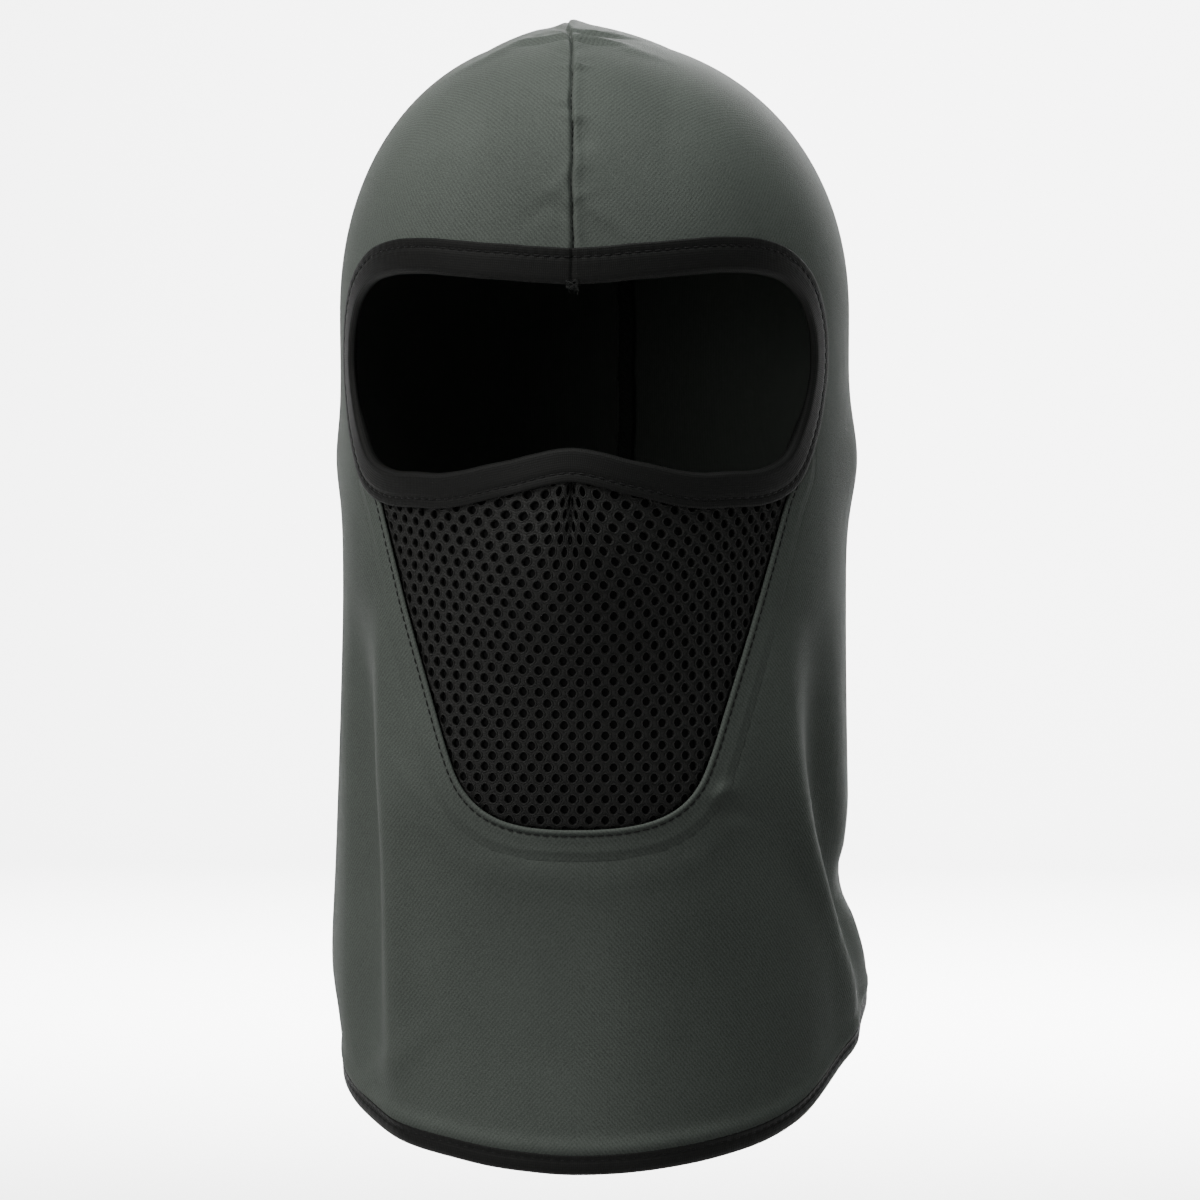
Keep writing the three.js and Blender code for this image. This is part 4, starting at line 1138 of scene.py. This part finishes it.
# Each row's line, then its stitch length, its width if it zigzags and its thread's radius, in millimetres.
made = {
    "face_binding_stitch": running_stitches(
        "face_tape_stitches", line_beside(*face_path, face_line, 0.42), 2.9, 0.2, black_thread),
    "face_binding_looper": zigzag(
        "face_tape_looper", line_beside(*face_path, face_line, -2.9), 2.9, 0.5, 0.2, black_thread),
    "hem_binding_stitch": running_stitches(
        "hem_tape_stitches", line_beside(*hem_path, hem_line, 0.22), 2.9, 0.2, black_thread),
    "hem_binding_looper": zigzag(
        "hem_tape_looper", line_beside(*hem_path, hem_line, -1.8), 2.9, 0.5, 0.2, black_thread),
    "mouth_topstitch": running_stitches(
        "panel_topstitch", line_beside(*mouth_path, 1.7, -0.1, False), 2.6, 0.2, grey_thread, False),
    "nose_dart_thread": running_stitches(
        "nose_dart_stitches", line_beside(*dart_path, 0, -1.75, False), 1.6, 0.16, black_thread, False, 0.1
    ),
    "crown_seam_thread": running_stitches(
        "crown_seam_stitches", seam_line(0, -1.05), 2.4, 0.15, grey_thread, False),
}
for node, piece in made.items():
    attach(piece, "root")
    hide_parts(node)

# ---- Overlocked seams ----
# Inside, overlocking binds the raw edges of the centre seam and of the mouth panel's seam: a soft flat
# ridge of cloth under close slanted thread loops, with a needle line along its root.

LOOP_PITCH = 2.2
THREAD_RADIUS = 0.2


def overlock(name, near_line, far_line, near_out, material):
    """A ridge between two lines, wrapped in slanted loops, with a needle line beside them: one piece."""
    (near, normal), (far, _) = near_line, far_line
    lift = normal * near_out * MM
    crest = 0.5 * (near + far) + lift * 1.15
    section = np.stack([near, near + lift, crest, far + lift, far + lift * 0.4, far], axis=1)
    travelled, _ = path_length(near, False)
    around = np.array([0, 0.8, 3.2, 5.6, 6.0, 6.4]) * MM
    flat = np.stack(np.broadcast_arrays(travelled[:, None], around), axis=-1).reshape(-1, 2)
    ridge = mesh_from(name, section.reshape(-1, 3), tube_faces(len(near), 6, False), flat, material)
    over_near, normals = even_marks(near + lift, normal, LOOP_PITCH, False)
    over_far, _ = even_marks(far + lift, normal, LOOP_PITCH, False)
    count = min(len(over_near), len(over_far)) - 1
    inward = np.sign(near_out) * normals[:count]
    start, end, next_start = over_near[:count], over_far[1 : count + 1], over_near[1 : count + 1]
    loops = threads(name + "_loops", start, end, inward, THREAD_RADIUS * MM, material, 1.5)
    back = threads(name + "_back", end, next_start, inward, THREAD_RADIUS * MM, material, 1.5)
    needle_line = (near + lift * 1.02, np.sign(near_out) * normal)
    needle = running_stitches(name + "_needle", needle_line, LOOP_PITCH, THREAD_RADIUS, material, False)
    joined = [ridge, loops, back, needle]
    with bpy.context.temp_override(active_object=ridge, selected_editable_objects=joined):
        bpy.ops.object.join()
    return ridge


seam_tone = (0.02, 0.0225, 0.0205)
seam_thread = woven_material("overlock_thread_twist", seam_tone, 0.3, 0.7, 0.05, twist, 0.2, 0.1)
crown_overlock = overlock("crown_overlock", seam_line(0.4, -1.6), seam_line(4.8, -1.6), -1.0, seam_thread)
near_panel = line_beside(*mouth_path, 0.6, -2.95, False)
far_panel = line_beside(*mouth_path, 5.2, -2.75, False)
panel_overlock = overlock("panel_overlock", near_panel, far_panel, -0.8, seam_thread)
for node, piece in {"crown_seam_overlock": crown_overlock, "mouth_seam_overlock": panel_overlock}.items():
    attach(piece, "root")
    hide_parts(node)

# ---- Thread tail ----
# Where the crown seam runs out under the face tape, its threads end in a small knot. Every second strand
# of it leaves the knot and hangs below it as a frayed end.

TAIL_STRANDS = 12
STRAND_SIDES = 5
TAIL_RADIUS = 0.19 * MM
KNOT_BELOW_TOP = 1.4 * MM


def strands(name, paths, radius, material):
    """Thin tubes along (count, steps, 3) paths, tapered to their tips."""
    count, steps, _ = paths.shape
    onward = np.gradient(paths, axis=1)
    beside = unit(np.cross(onward, np.array([0.3, 1.0, 0.2])))
    upward = unit(np.cross(onward, beside))
    turn = np.linspace(0, 2 * np.pi, STRAND_SIDES, endpoint=False)[:, None]
    girth = radius * (1 - 0.7 * np.linspace(0, 1, steps) ** 3)[:, None, None]
    spokes = beside[:, :, None] * np.cos(turn) + upward[:, :, None] * np.sin(turn)
    points = paths[:, :, None] + spokes * girth
    shift = steps * STRAND_SIDES * np.arange(count)[:, None, None]
    parts = tube_faces(steps, STRAND_SIDES, False)
    faces = [(part[None] + shift).reshape(-1, part.shape[1]) for part in parts]
    flat = np.zeros((count * steps * STRAND_SIDES, 2))
    return mesh_from(name, points.reshape(-1, 3), faces, flat, material)


def make_tail():
    """Strands that coil as sine waves of seeded phase round the knot's middle, half of them falling."""
    low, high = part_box("forehead_thread_tail")
    knot = np.array([(low.x + high.x) / 2 + lean(0.0), (low.y + high.y) / 2, high.z - KNOT_BELOW_TOP])
    random = np.random.default_rng(11)
    turn = np.linspace(0, 1, 26)[None, :]
    phase = random.uniform(0, 2 * np.pi, (TAIL_STRANDS, 3, 1))
    across = 1.6 * np.cos(9 * turn + phase[:, 0])
    deep = 0.9 * np.sin(8 * turn + phase[:, 1])
    up = 1.1 * np.sin(7 * turn + phase[:, 2])
    coil = np.stack([across, deep, up], axis=-1) * MM
    loose = (np.arange(TAIL_STRANDS) % 2 == 0)[:, None, None]
    fall = smooth_step(turn, 0.45, 1.0)[..., None]
    aim_down = random.normal(0, 1, (TAIL_STRANDS, 1, 3)) * (1.8, 0.7, 0.8) + (0, -0.2, -2.6)
    paths = knot + np.where(loose, coil * (1 - 0.8 * fall) + fall * aim_down * MM, coil)
    return strands("forehead_tail", paths, TAIL_RADIUS, grey_thread)


forehead_tail = make_tail()
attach(forehead_tail, "root")
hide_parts("forehead_thread_tail")
